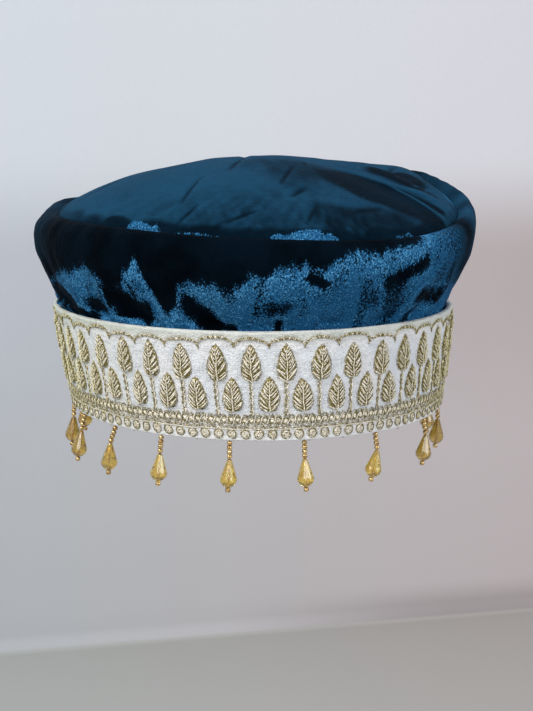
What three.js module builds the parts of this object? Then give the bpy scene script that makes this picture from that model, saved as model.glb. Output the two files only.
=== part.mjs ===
// A Kashmiri velvet pillbox cap with an embroidered band and a fringe of glass drops.
// Millimetres, +Z up, the wearer's forehead towards -Y. The origin is the centre of the head
// opening, level with the band's lower edge. Angles run round the head from the forehead
// towards +X, in degrees, and every round is an oval that is longer from front to back.
import * as THREE from "three";
import { mergeVertices } from "three/addons/utils/BufferGeometryUtils.js";

// ---- Driving sizes ---------------------------------------------------------------------
const OVAL = 1.12; // front-to-back size over side-to-side size
const GAP = 0.3; // clearance between neighbouring pieces
const COLUMNS = 84; // facets round the cloth pieces

const BAND = { height: 45.8, footRadius: 86.3, topRadius: 92.1, wall: 2.6, edge: 0.5 };
const VELVET = { wall: 1.9, tuck: 7, shoulderPower: 0.85, flarePower: 0.9 };
const TOP = { wall: 2.3, rise: 22.1, power: 0.8, centre: 90, blend: 1.6 };
const SEED = { radius: 1.15, height: 1.9, neck: 0.55, count: 4, sides: 6 };
const THREAD_RADIUS = 0.28;
const TEAR = { length: 11.6, radius: 3.6, neckRadius: 1.15, tipRadius: 1.3, bore: 0.6, sides: 10 };

// The crown's sections: where the top seam runs, and where the wall stands out furthest.
const CROWN_SECTIONS = [
  { at: -135, seamZ: 92, seamRadius: 91, widestZ: 82, reach: 102 },
  { at: -90, seamZ: 87.5, seamRadius: 90.5, widestZ: 78, reach: 101.5 },
  { at: -45, seamZ: 86.5, seamRadius: 91.5, widestZ: 76, reach: 101 },
  { at: 0, seamZ: 83.7, seamRadius: 92, widestZ: 74, reach: 100.5 },
  { at: 45, seamZ: 82.5, seamRadius: 92, widestZ: 75, reach: 100 },
  { at: 90, seamZ: 89.5, seamRadius: 92, widestZ: 81, reach: 100 },
  { at: 135, seamZ: 98.5, seamRadius: 91.5, widestZ: 88.5, reach: 101 },
  { at: 180, seamZ: 95.5, seamRadius: 92, widestZ: 86, reach: 101.5 },
];

// Gathers pressed into the velvet above the band: foot angle, how far the crease drifts on
// its way up, half width, depth, and the share of the wall's height at which it dies out.
const GATHERS = [
  { at: -62, drift: -12, wide: 6, deep: 4.4, tall: 0.75 },
  { at: -45, drift: -9, wide: 5.5, deep: 4, tall: 0.6 },
  { at: -30, drift: -12, wide: 6.5, deep: 5.4, tall: 0.8 },
  { at: -9, drift: -14, wide: 7, deep: 5.2, tall: 0.65 },
  { at: 6, drift: -3, wide: 5, deep: 3.6, tall: 0.45 },
  { at: 21, drift: 4, wide: 6, deep: 4, tall: 0.8 },
  { at: 37, drift: 8, wide: 5.5, deep: 4, tall: 0.7 },
  { at: 50, drift: 11, wide: 5.5, deep: 4.8, tall: 0.85 },
  { at: 64, drift: 10, wide: 5.5, deep: 4, tall: 0.7 },
];
const BACK_GATHERS = { from: 78, to: 284, step: 15.8, wide: 5.8, deep: 4.2, tall: 0.7 };

// Swells of the shoulder, just under the top seam.
const SWELLS = [
  { at: -107, wide: 12, out: 1.1, up: 4.6 },
  { at: -84, wide: 9, out: 0.6, up: -1 },
  { at: -38, wide: 16, out: 1, up: 0.8 },
  { at: 104, wide: 26, out: 0.6, up: 10 },
  { at: 128, wide: 14, out: 0.4, up: 9 },
  { at: 152, wide: 20, out: 1, up: 0 },
];

// Folds of the top panel, each a soft ridge (or a dent, where high is negative) along a line.
const TOP_FOLDS = [
  { from: [84, -32], to: [30, 22], high: 2.6, wide: 8 },
  { from: [76, -10], to: [44, 34], high: -1.6, wide: 8 },
  { from: [70, -46], to: [26, -8], high: -1.4, wide: 9 },
  { from: [82, 36], to: [86, 10], high: 7, wide: 19 },
  { from: [34, 24], to: [52, 32], high: -1.6, wide: 15 },
  { from: [60, 60], to: [68, 40], high: 3, wide: 16 },
  { from: [-34, 14], to: [-24, 10], high: -1.3, wide: 22 },
  { from: [-22, -46], to: [-10, 6], high: -0.9, wide: 7 },
  { from: [-62, 44], to: [-80, 10], high: -2, wide: 22 },
];

// The drops over the forehead are sewn on a little unevenly. Their seed beads swing out of
// the vertical towards +X by swing degrees, and the tear drop below them by hang degrees.
const FRONT_DROPS = [
  { at: -82.4, swing: -3, hang: -4 },
  { at: -62.8, swing: -12, hang: -8 },
  { at: -44.4, swing: -18, hang: -4 },
  { at: -27.3, swing: -5, hang: -4 },
  { at: -7.2, swing: 0, hang: -3 },
  { at: 13.5, swing: 2, hang: 3 },
  { at: 36, swing: 8, hang: -11 },
  { at: 59.9, swing: 10, hang: -6 },
  { at: 81.8, swing: 3, hang: -4 },
  { at: 101.4, swing: 0, hang: 2 },
];
const BACK_DROPS = { from: 121, step: 19.6, count: 8, swing: 6, hang: 4 };

// ---- Small helpers ---------------------------------------------------------------------
const radians = THREE.MathUtils.degToRad;
const lerp = THREE.MathUtils.lerp;
const bump = (distance, wide) => Math.exp(-((distance / wide) ** 2));

// The shorter way round from one angle to another, in degrees.
function turnBetween(from, to) {
  return ((((to - from) % 360) + 540) % 360) - 180;
}

// A point at an angle round the head. radius is the half width from side to side.
function onOval(angle, { r, z }) {
  return new THREE.Vector3(r * Math.sin(radians(angle)), -OVAL * r * Math.cos(radians(angle)), z);
}

// A point round a small round piece, whose rings may be turned by half a facet.
function onCircle(angle, { r, z, turn = 0 }) {
  const a = radians(angle + turn);
  return new THREE.Vector3(r * Math.cos(a), r * Math.sin(a), z);
}

// A smooth closed curve through one column of the crown's sections.
function aroundCrown(angle, column) {
  const n = CROWN_SECTIONS.length;
  const share = turnBetween(CROWN_SECTIONS[0].at, angle) / (360 / n);
  const steps = share < 0 ? share + n : share;
  const i = Math.floor(steps) % n;
  const t = steps - Math.floor(steps);
  const [a, b, c, d] = [-1, 0, 1, 2].map((k) => CROWN_SECTIONS[(i + k + n) % n][column]);
  const slopeIn = (c - a) / 2;
  const slopeOut = (d - b) / 2;
  const rest = b + slopeIn * t;
  return rest + (3 * (c - b) - 2 * slopeIn - slopeOut) * t ** 2 + (2 * (b - c) + slopeIn + slopeOut) * t ** 3;
}

// A closed solid from one closed section per column. A section that starts and ends at r = 0
// closes on the axis; any other joins its last point to its first.
function sweep(columns, sectionAt, place) {
  const rings = [];
  for (let i = 0; i < columns; i++) {
    const angle = (360 * i) / columns;
    rings.push(sectionAt(angle).map((p) => place(angle, p)));
  }
  const onAxis = sectionAt(0)[0].r === 0;
  const last = rings[0].length - (onAxis ? 1 : 0);
  const corners = [];
  const face = (...points) => {
    const flat = new THREE.Triangle(...points).getArea() < 1e-7;
    if (!flat) points.forEach((p) => corners.push(p.x, p.y, p.z));
  };
  for (let i = 0; i < columns; i++) {
    const here = rings[i];
    const next = rings[(i + 1) % columns];
    for (let j = 0; j < last; j++) {
      const k = (j + 1) % here.length;
      face(here[j], next[j], next[k]);
      face(here[j], next[k], here[k]);
    }
  }
  const geometry = new THREE.BufferGeometry();
  geometry.setAttribute("position", new THREE.Float32BufferAttribute(corners, 3));
  const merged = mergeVertices(geometry, 1e-4);
  merged.computeVertexNormals();
  return merged;
}

// The inner side of a wall, from the top down, for an outer side that runs from the foot up.
// Above the foot it takes only every second point.
function innerSide(outer, wall) {
  const inner = outer.map((p, j) => {
    const below = outer[Math.max(j - 1, 0)];
    const above = outer[Math.min(j + 1, outer.length - 1)];
    const length = Math.hypot(above.r - below.r, above.z - below.z);
    const inward = (wall * (above.z - below.z)) / length;
    const upward = (wall * (above.r - below.r)) / length;
    return { r: p.r - inward, z: p.z + upward };
  });
  const top = inner.length - 1;
  return inner.filter((p, j) => j < 2 || j % 2 === 1 || j === top).reverse();
}

function mesh(name, geometry, material) {
  const made = new THREE.Mesh(geometry, material);
  made.name = name;
  return made;
}

// ---- Materials -------------------------------------------------------------------------
const velvet = new THREE.MeshStandardMaterial({ color: 0x123a57, roughness: 0.55, metalness: 0 });
const bandCloth = new THREE.MeshStandardMaterial({ color: 0xdad8d8, roughness: 0.8, metalness: 0 });
const goldBead = new THREE.MeshStandardMaterial({ color: 0xd2a54a, roughness: 0.2, metalness: 0.6 });
const amberGlass = new THREE.MeshStandardMaterial({ color: 0xe0b640, roughness: 0.06, metalness: 0 });

// ---- The crown -------------------------------------------------------------------------
// All the gathers, those over the forehead by hand and the rest in an even run round the back.
function allGathers() {
  const { from, to, step, wide, deep, tall } = BACK_GATHERS;
  const back = [];
  for (let at = from; at < to; at += step) {
    const sway = Math.sin(radians(at * 7));
    back.push({ at, drift: 9 * sway, wide: wide + sway, deep: deep - 0.7 * sway, tall: tall - 0.12 * sway });
  }
  return [...GATHERS, ...back];
}

// How far the gathers press the wall in, at a share of its height above the band.
function gatherDepth(angle, share, gathers) {
  let depth = 0;
  for (const g of gathers) {
    const fade = Math.max(0, 1 - share / g.tall) ** 1.3 * Math.min(1, 0.35 + share * 9);
    depth += g.deep * fade * bump(turnBetween(g.at + g.drift * share, angle), g.wide * (0.8 + share));
  }
  return depth;
}

// The wall's outer side at an angle: tucked behind the band, out to the widest, over the
// shoulder and in to the top seam.
function wallOuter(angle, gathers) {
  const seamZ = aroundCrown(angle, "seamZ");
  const seamRadius = aroundCrown(angle, "seamRadius");
  const bandSlope = (BAND.topRadius - BAND.footRadius) / BAND.height;
  const tuckTop = BAND.topRadius - BAND.wall - GAP;
  let reach = aroundCrown(angle, "reach");
  let lift = 0;
  for (const s of SWELLS) {
    reach += s.out * bump(turnBetween(s.at, angle), s.wide);
    lift += s.up * bump(turnBetween(s.at, angle), s.wide);
  }
  const widestZ = aroundCrown(angle, "widestZ") + lift / 2;
  const points = [
    { r: tuckTop - VELVET.tuck * bandSlope, z: BAND.height - VELVET.tuck },
    { r: tuckTop, z: BAND.height + GAP },
  ];
  for (const share of [0.1, 0.22, 0.36, 0.52, 0.7, 0.86, 1]) {
    const flare = Math.sin((share * Math.PI) / 2) ** VELVET.flarePower;
    const r = lerp(tuckTop, reach, flare) - gatherDepth(angle, share, gathers);
    points.push({ r, z: lerp(BAND.height + GAP, widestZ, share) });
  }
  for (const turn of [30, 55, 75, 90]) {
    const inset = Math.cos(radians(turn)) ** VELVET.shoulderPower;
    const roll = lift * Math.sin(radians(2 * turn)) * 0.5;
    points.push({
      r: lerp(seamRadius, reach, turn === 90 ? 0 : inset),
      z: lerp(widestZ, seamZ, Math.sin(radians(turn))) + roll,
    });
  }
  return points;
}

function crownSide() {
  const gathers = allGathers();
  const section = (angle) => {
    const outer = wallOuter(angle, gathers);
    return [...outer, ...innerSide(outer, VELVET.wall)];
  };
  return mesh("crown_side", sweep(COLUMNS, section, onOval), velvet);
}

// The folds of the top panel at a place on it.
function topFold(x, y) {
  let height = 0;
  for (const fold of TOP_FOLDS) {
    const start = new THREE.Vector3(...fold.from, 0);
    const line = new THREE.Line3(start, new THREE.Vector3(...fold.to, 0));
    const place = new THREE.Vector3(x, y, 0);
    const along = line.closestPointToPointParameter(place, true);
    const away = line.closestPointToPoint(place, true, new THREE.Vector3()).distanceTo(place);
    height += fold.high * bump(away, fold.wide) * (1 - 0.6 * along);
  }
  return height;
}

// Height of the top panel's upper side, at a share of the way from the centre to the seam.
function topHeight(angle, share) {
  const rim = aroundCrown(angle, "seamZ");
  const { x, y } = onOval(angle, { r: share * aroundCrown(angle, "seamRadius"), z: 0 });
  const dome = TOP.rise * Math.max(0, 1 - share ** 2) ** TOP.power;
  const edgeFade = 1 - share ** 8;
  return lerp(TOP.centre, rim, share ** TOP.blend) + dome + topFold(x, y) * edgeFade;
}

function crownTop() {
  const upper = [1, 0.93, 0.83, 0.7, 0.54, 0.36, 0.18, 0];
  const lower = [0, 0.4, 0.7, 0.9, 1];
  const side = (angle, steps, drop) =>
    steps.map((share) => ({
      r: share * (aroundCrown(angle, "seamRadius") - GAP - 0.1),
      z: topHeight(angle, share) - drop,
    }));
  const section = (angle) => [
    ...side(angle, lower, TOP.wall),
    ...side(angle, upper, 0),
  ];
  return mesh("crown_top", sweep(COLUMNS, section, onOval), velvet);
}

// ---- The band --------------------------------------------------------------------------
function embroideredBand() {
  const { height, footRadius, topRadius, wall, edge } = BAND;
  const outer = [
    { r: footRadius - edge, z: 0 },
    { r: footRadius, z: edge },
    { r: (footRadius + topRadius) / 2, z: height / 2 },
    { r: topRadius, z: height - edge },
    { r: topRadius - edge, z: height },
  ];
  const inner = [
    { r: topRadius - wall, z: height },
    { r: footRadius - wall, z: 0 },
  ];
  return mesh("embroidered_band", sweep(COLUMNS, () => [...outer, ...inner], onOval), bandCloth);
}

// ---- The drops -------------------------------------------------------------------------
const TEAR_TOP = -(2 * GAP + SEED.count * SEED.height);
const STOPPER_TOP = TEAR_TOP - TEAR.length - GAP;

// The thread with the seed beads above the tear drop and the stopper bead below it. What
// lies below the tear drop's top is turned with it, by bend degrees.
function strandGeometry(bend) {
  const { radius, height, neck, count, sides } = SEED;
  const points = [
    { r: 0, z: STOPPER_TOP - height },
    { r: neck, z: STOPPER_TOP - height },
    { r: radius, z: STOPPER_TOP - height / 2 },
    { r: THREAD_RADIUS, z: STOPPER_TOP },
    { r: THREAD_RADIUS, z: TEAR_TOP },
    { r: neck, z: TEAR_TOP + GAP },
  ];
  for (let n = count - 1; n >= 0; n--) {
    points.push({ r: radius, z: -GAP - (n + 0.5) * height }, { r: neck, z: -GAP - n * height });
  }
  points.push({ r: 0, z: -GAP });
  const turnBelow = (angle, p) => {
    const place = onCircle(angle, p);
    return p.z > TEAR_TOP ? place : aboutTearTop(place, bend);
  };
  return sweep(sides, () => points, turnBelow);
}

// A place turned about the tear drop's top, towards +X by some degrees.
function aboutTearTop(place, turn) {
  const pivot = new THREE.Vector3(0, 0, TEAR_TOP);
  return place.sub(pivot).applyAxisAngle(new THREE.Vector3(0, 1, 0), radians(-turn)).add(pivot);
}

// A faceted tear drop with a bore for its thread: long facets down to the girdle, then two
// rows of short ones that close in on the tip.
function tearGeometry() {
  const { length, radius, neckRadius, tipRadius, bore, sides } = TEAR;
  const rings = [
    { r: tipRadius, z: -length, turn: 0 },
    { r: radius * 0.86, z: -length * 0.83, turn: 180 / sides },
    { r: radius, z: -length * 0.65, turn: 0 },
    { r: neckRadius, z: 0, turn: 0 },
    { r: bore, z: 0, turn: 0 },
    { r: bore, z: -length, turn: 0 },
  ];
  return sweep(sides, () => rings, onCircle);
}

function fringe() {
  const { from, step, count, swing, hang } = BACK_DROPS;
  const drops = [...FRONT_DROPS];
  for (let n = 0; n < count; n++) {
    drops.push({ at: from + n * step, swing: swing * Math.sin(2.3 * n), hang: hang * Math.cos(2.9 * n) });
  }
  const group = new THREE.Group();
  const tear = tearGeometry();
  drops.forEach((drop, n) => {
    const number = String(n + 1).padStart(2, "0");
    const hanging = new THREE.Group();
    hanging.position.copy(onOval(drop.at, { r: BAND.footRadius - BAND.wall / 2, z: 0 }));
    hanging.rotation.y = radians(-drop.swing);
    const strand = mesh(`drop_strand_${number}`, strandGeometry(drop.hang - drop.swing), goldBead);
    const bead = mesh(`drop_bead_${number}`, tear, amberGlass);
    bead.position.z = TEAR_TOP;
    bead.rotation.y = radians(drop.swing - drop.hang);
    hanging.add(strand, bead);
    group.add(hanging);
  });
  return group;
}

const cap = new THREE.Group();
cap.add(crownTop(), crownSide(), embroideredBand(), fringe());

export default cap;
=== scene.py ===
"""A velvet cap: gathered crown, white band with gold embroidery, fringe of amber glass drops."""
import math

import bpy
import numpy as np
from bpy.props import FloatProperty, FloatVectorProperty, IntProperty, PointerProperty
from mathutils import Matrix, Vector


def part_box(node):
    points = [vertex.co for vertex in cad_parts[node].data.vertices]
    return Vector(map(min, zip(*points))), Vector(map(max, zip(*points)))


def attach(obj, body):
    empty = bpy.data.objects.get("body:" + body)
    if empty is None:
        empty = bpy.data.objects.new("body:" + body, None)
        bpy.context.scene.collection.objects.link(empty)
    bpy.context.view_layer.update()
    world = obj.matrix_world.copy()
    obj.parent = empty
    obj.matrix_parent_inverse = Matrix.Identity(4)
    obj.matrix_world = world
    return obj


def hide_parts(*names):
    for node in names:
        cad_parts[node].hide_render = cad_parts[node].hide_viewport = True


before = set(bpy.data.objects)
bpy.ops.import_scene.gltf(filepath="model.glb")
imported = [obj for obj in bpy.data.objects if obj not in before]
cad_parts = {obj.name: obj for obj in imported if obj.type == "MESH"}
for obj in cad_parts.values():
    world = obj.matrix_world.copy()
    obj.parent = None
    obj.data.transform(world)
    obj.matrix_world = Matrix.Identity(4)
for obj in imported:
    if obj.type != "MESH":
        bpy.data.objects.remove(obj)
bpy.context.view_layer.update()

bl_info = {
    "name": "Velvet Cap",
    "version": (1, 0, 0),
    "blender": (4, 5, 0),
    "location": "3D Viewport > Sidebar > Velvet Cap",
    "description": "Builds a velvet cap with an embroidered band and a fringe of glass drops",
    "category": "Add Mesh",
}

MM = 0.001
BAND_LOW, BAND_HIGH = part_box("embroidered_band")
HALF_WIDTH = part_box("crown_side")[1].x

# ---- Measures that several pieces share, in millimetres --------------------------------------
GAP = 0.3  # clearance between neighbouring pieces
TUCK = 7.3  # how far the velvet wall runs down inside the band, from just above its rim
SEAM_DROP = 1.1  # how far the cloth is drawn down along the top seam
DOME_RISE, DOME_FOOT = 22.1, 90  # the top panel's dome, and the height it stands on in the middle
WALL_COLUMNS, TOP_COLUMNS, BAND_COLUMNS = 640, 600, 840  # points round each piece of cloth
A_DEGREE = 1.8  # what one degree measures along the crown's wall
STRIP = 604.0  # length of the band's cloth, laid flat
UPPER_LEAVES, LOWER_LEAVES, TOP_LINE = 25.3, 12.4, 43.6  # heights of the embroidered rows
ON_CLOTH = 0.14  # middle of a thread that lies on the cloth
STRING = 0.28  # radius of the thread that the beads hang on

# ---- The crown's shape, in millimetres and in degrees from the forehead towards +X -----------
# angle, height and radius of the top seam, height of the widest place, its radius
CROWN_SECTIONS = [
    (-135, 92, 91, 82, 102), (-90, 87.5, 90.5, 78, 101.5), (-45, 86.5, 91.5, 76, 101),
    (0, 83.7, 92, 74, 100.5), (45, 82.5, 92, 75, 100), (90, 89.5, 92, 81, 100),
    (135, 98.5, 91.5, 88.5, 101), (180, 95.5, 92, 86, 101.5),
]
# where the wall swells: angle, half width, how far out, how far up
SWELLS = [
    (-107, 12, 1.1, 4.6), (-84, 9, 0.6, -1), (-38, 16, 1, 0.8), (104, 26, 0.6, 10), (128, 14, 0.4, 9),
    (152, 20, 1, 0),
]
# gathers over the band: angle, drift on the way up, half width, depth, share of the wall's height
GATHERS = [
    (-62, -12, 6, 4.4, 0.75), (-45, -9, 5.5, 4, 0.6), (-30, -12, 6.5, 5.4, 0.8),
    (-9, -14, 7, 5.2, 0.65), (6, -3, 5, 3.6, 0.45), (21, 4, 6, 4, 0.8),
    (37, 8, 5.5, 4, 0.7), (50, 11, 5.5, 4.8, 0.85), (64, 10, 5.5, 4, 0.7),
]
# soft folds of the top panel: from, to, height, half width
TOP_FOLDS = [
    ((84, -32), (30, 22), 2.6, 8), ((76, -10), (44, 34), -1.6, 8), ((70, -46), (26, -8), -1.4, 9),
    ((82, 36), (86, 10), 7, 19), ((34, 24), (52, 32), -1.6, 15), ((60, 60), (68, 40), 3, 16),
    ((-34, 14), (-24, 10), -1.3, 22), ((-22, -46), (-10, 6), -0.9, 7), ((-62, 44), (-80, 10), -2, 22),
]
# fine creases and ridges of the top panel, on the soft folds: from, to, height, half width
TOP_CREASES = [
    ((-12, -42), (-6, -6), -0.9, 1.6), ((-6, -6), (-6, 34), -0.8, 1.8), ((-6, 34), (-13, 76), -0.9, 2),
    ((-31, -78), (-24, -50), -0.8, 1.4), ((-32, -94), (-24, -81), -0.9, 1.3),
    ((14, -73), (20, -62), -1.1, 2.2), ((10, -61), (16, -30), -0.5, 1.5), ((20, -93), (24, -80), -0.6, 1.2),
    ((22, -25), (20, -12), -0.4, 1.2), ((-12, -96), (0, -88), -0.5, 1.4), ((38, -17), (59, -28), 0.9, 2.6),
    ((57, -27), (86, -28), 1.0, 2.8), ((57, -28), (84, -47), 0.8, 1.5), ((38, -78), (52, -64), -0.4, 2.2),
    ((58, 2), (66, 30), -0.7, 2.6), ((70, -22), (80, -4), 0.5, 2.0), ((-78, -30), (-60, -10), -0.3, 3.0),
    ((28, 60), (44, 84), -0.6, 2.2), ((-52, 70), (-34, 44), -0.6, 2.4), ((-86, 12), (-66, 22), 0.5, 2.4),
]

# ---- Which way the pile is brushed, and where its sheen and shade are painted ---------------
# the height up to which the wall's pile is brushed up and its sheen is painted bright: angle, height
LIT_EDGE = [
    (-90, 52), (-80, 57), (-70, 60), (-62, 62.5), (-56, 66), (-51, 66.5), (-47, 69), (-44, 70), (-41, 67),
    (-39.5, 64), (-37, 62), (-33.6, 62.5), (-32.4, 68), (-31, 71), (-28.5, 75), (-27, 70), (-25, 62),
    (-23.5, 55), (-21.5, 52), (-20, 55), (-19, 62), (-18, 65.5), (-13, 66), (-9.5, 66), (-7, 63), (-4, 65.5),
    (-1.5, 71), (1, 67.5), (4, 72), (7, 73.5), (11, 73.5), (13, 72), (16, 71.5), (18, 75), (20, 77),
    (23, 79), (26, 78.5), (29, 76.5), (32, 78.5), (35, 80), (38, 81), (42, 80.5), (45, 83), (49, 90),
    (56, 94), (72, 96), (80, 84), (90, 74),
]
# dents of dark pile cut out of the painted sheen: from angle and height, to angle and height, half width in
# mm, strength
DARK_DENTS = [
    (-76, 52, -67, 54, 3.6, 0.9), (-67, 55, -59, 48, 5.4, 0.97), (-60.5, 56, -56, 50.5, 2.6, 0.9),
    (-58.5, 49.5, -47.5, 45.8, 2.0, 0.9), (-47.8, 52.4, -43.6, 52, 3.3, 0.95),
    (-39.5, 57, -28.5, 52, 4.6, 0.97), (-36, 50, -29.4, 50.6, 3.6, 0.95), (-38, 62, -33.5, 59, 2.4, 0.45),
    (-32.6, 66, -31, 60, 1.2, 0.5), (-22.6, 84, -21.6, 57, 2.6, 0.95), (-16.5, 56, -12, 50, 4.0, 0.97),
    (-13, 51, -9.5, 46, 3.2, 0.95), (-9, 47.6, -4.5, 46, 1.5, 0.8), (-7.5, 62, -5, 59, 1.4, 0.3),
    (-2.6, 75, -2.4, 68, 1.2, 0.5), (0.8, 63, 0.2, 54, 1.0, 0.3), (2.5, 54.5, 8, 56, 2.6, 0.6),
    (6.6, 49, 6.9, 44, 1.6, 0.95), (10, 60, 12, 54, 1.6, 0.25), (12, 68.4, 15.6, 65.4, 2.0, 0.9),
    (27, 64, 28.6, 47, 2.2, 0.45), (29, 60, 31, 55, 2.5, 0.35), (33, 65, 44, 71.5, 2.7, 0.8),
    (35, 60, 39, 51, 5.5, 0.5), (46.5, 57, 58, 54.5, 3.2, 0.75), (49.5, 52, 45, 46, 2.4, 0.75),
    (57.5, 68, 59.5, 58, 1.6, 0.5), (66, 80, 67, 66, 5.0, 0.9),
]
# narrow strokes of painted sheen between the dents, in the same columns
LIT_STROKES = [
    (-46, 48, -31, 46.3, 1.3, 0.85), (-41.2, 66, -40.6, 50, 1.0, 0.7), (-26, 50, -24.5, 46, 1.2, 0.5),
    (-20.4, 51.5, -18.6, 45, 2.2, 0.95), (4.4, 45, 5.0, 49.5, 0.8, 0.8), (5.0, 49.5, 7.2, 51.6, 0.8, 0.8),
    (7.2, 51.6, 9.2, 45.5, 0.9, 0.8), (42, 45, 42.6, 59, 2.4, 0.85), (51, 48, 55, 45, 1.6, 0.6),
    (63, 47, 66, 54, 2.0, 0.7),
]
# patches of painted shade on the top panel: from, to, half width, strength
PAINTED_SHADE_PATCHES = [
    ((40, -38), (66, -44), 13, 1.0), ((12, -30), (36, -38), 17, 0.5), ((48, -52), (74, -51), 8, 0.95),
    ((68, 10), (72, -14), 8, 1.0), ((56, -10), (70, -18), 7, 0.95), ((83, 18), (72, 64), 6, 0.9),
    ((72, -36), (80, -38), 3, 0.9), ((-86, -20), (-88, 20), 3, 0.4), ((8, -48), (20, -60), 9, 0.3),
    ((30, -84), (62, -68), 8, 0.55), ((-61, -76), (-54, -83), 2.6, 0.9),
]
# patches of the top panel's painted sheen, where the pile is brushed up beside the seam: from and to angle,
# how far in, strength
LIT_PATCHES = [
    (-35, -30, 3.4, 0.8), (-32, -25, 2.2, 0.8), (-22, -9, 0.6, 0.7), (3, 10, 1.7, 0.8), (8, 19, 3.7, 0.85),
    (17, 21, 1.6, 0.8), (38, 45, 1.3, 0.6), (84, 104, 7, 0.8),
]

# ---- The drops over the forehead, in degrees: place, swing of the seeds, hang of the glass ---
FRONT_DROPS = [
    (-82.4, -3, -4), (-62.8, -12, -8), (-44.4, -18, -4), (-27.3, -5, -4), (-7.2, 0, -3),
    (13.5, 2, 3), (36, 8, -11), (59.9, 10, -6), (81.8, 3, -4), (101.4, 0, 2),
]


def back_gather(at):
    """A gather behind the ears, where they follow one rule."""
    sway = math.sin(math.radians(7 * at))
    return at, 9 * sway, 5.8 + sway, 4.2 - 0.7 * sway, 0.7 - 0.12 * sway


ALL_GATHERS = GATHERS + [back_gather(at) for at in np.arange(78, 284, 15.8)]
DROPS = FRONT_DROPS + [(121 + 19.6 * n, 6 * math.sin(2.3 * n), 4 * math.cos(2.9 * n)) for n in range(8)]


def paint(red, green, blue):
    """A colour from red, green and blue as a screen shows them, 0 to 255, turned into linear light."""
    shares = (c / 255 for c in (red, green, blue))
    return tuple(c / 12.92 if c <= 0.04045 else ((c + 0.055) / 1.055) ** 2.4 for c in shares)


def length(name, description, default):
    return FloatProperty(name=name, description=description, default=default,
                         subtype="DISTANCE", unit="LENGTH")


def power(name, description, default):
    return FloatProperty(name=name, description=description, default=default, unit="POWER")


def colour(name, description, red, green, blue):
    return FloatVectorProperty(name=name, description=description, subtype="COLOR", min=0, max=1,
                               default=paint(red, green, blue))


def degrees(name, description, default):
    return FloatProperty(name=name, description=description, default=math.radians(default),
                         subtype="ANGLE", unit="ROTATION")


class CrownSettings(bpy.types.PropertyGroup):
    """Sizes and colours of the velvet crown."""
    oval: FloatProperty(name="Oval", description="Length of the head opening over its width", default=1.12)
    wall: length("Cloth thickness", "Thickness of the velvet with its backing", 0.0016)
    # lit, soft and spark are the pile's painted sheen and painted glints; dark and navy are the pile without
    # them
    dark: colour("Pile away", "Pile that lies away from the light", 2, 5, 9)
    navy: colour("Pile shadow", "Softer shade among the dark pile", 4, 13, 22)
    soft: colour("Pile across", "Pile that lies across the light", 23, 63, 89)
    lit: colour("Pile towards", "Pile that is brushed towards the light", 26, 77, 116)
    spark: colour("Pile tips", "Single tips that catch the light", 84, 154, 202)
    backing: colour("Backing", "Woven back of the velvet", 18, 36, 54)


class BandSettings(bpy.types.PropertyGroup):
    """Sizes and colours of the band and its embroidery."""
    radius: length("Upper radius", "Half the band's width at its upper edge", BAND_HIGH.x)
    taper: length("Taper", "How much less the radius is at the lower edge", 0.0058)
    height: length("Height", "Height of the band", BAND_HIGH.z - BAND_LOW.z)
    wall: length("Thickness", "Thickness of the stiffened band", 0.0026)
    cloth: colour("Cloth", "Colour of the white cloth", 243, 242, 243)
    shade: colour("Cloth in shade", "Cooler cloth between the leaves", 231, 235, 241)
    foot_shift: length("Foot shift", "How far the band's lower edge stands to the right", 0.0006)
    top_shift: length("Top shift", "How far the band's upper edge leans to the right", -0.0015)
    repeats: IntProperty(name="Repeats", description="Leaves in a row round the band", default=42)
    coins: IntProperty(name="Coins", description="Coiled discs round the lower edge", default=105)
    thread: length("Thread radius", "Half the thickness of a gold thread", 0.00025)
    gold: colour("Gold", "Bright side of the gold thread", 252, 241, 218)
    yellow: colour("Yellow gold", "Bright side of the thread at the sides of the cap", 240, 230, 172)
    olive: colour("Old gold", "Padding and shaded side of the gold thread", 124, 112, 60)


class DropSettings(bpy.types.PropertyGroup):
    """Sizes and colours of the fringe."""
    tear_length: length("Tear length", "Length of a glass drop", 0.0116)
    tear_radius: length("Tear radius", "Half the thickness of a glass drop", 0.0036)
    seed_radius: length("Seed radius", "Half the thickness of a seed bead", 0.00115)
    seed_height: length("Seed height", "Height of a seed bead", 0.0019)
    seeds: IntProperty(name="Seeds", description="Seed beads above each glass drop", default=4)
    amber: colour("Amber", "Glass of the drops", 255, 224, 104)
    brass: colour("Seed gold", "Metallic lining of the seed beads", 244, 214, 146)


class StageSettings(bpy.types.PropertyGroup):
    """The camera, the light and the floor."""
    distance: length("Camera distance", "From the camera to the middle of the band", 0.659)
    aim: length("Aim height", "Height that the camera looks at", 0.0229)
    elevation: degrees("Elevation", "How far the camera looks down", 9.3)
    pan: degrees("Pan", "Turn of the camera to its right", 0.42)
    tilt: degrees("Tilt", "Further turn of the camera downwards", 0.34)
    roll: degrees("Roll", "Turn of the camera round its own axis", -0.31)
    lens: FloatProperty(name="Lens", description="Focal length in millimetres", default=70.9)
    floor: length("Floor", "Height of the floor below the cap", -0.58)
    wall: length("Back wall", "Distance of the back wall behind the cap", 1.19)
    key: power("Key light", "Power of the large soft light", 27.0)
    fill: power("Fill light", "Power of the second light", 9.0)
    glint: power("Glint light", "Power of the small light in front", 0.95)
    sky: FloatProperty(name="Room light", description="Strength of the light all round", default=0.55)


class CapSettings(bpy.types.PropertyGroup):
    """Everything a user may change."""
    crown: PointerProperty(type=CrownSettings)
    band: PointerProperty(type=BandSettings)
    drops: PointerProperty(type=DropSettings)
    stage: PointerProperty(type=StageSettings)


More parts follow.
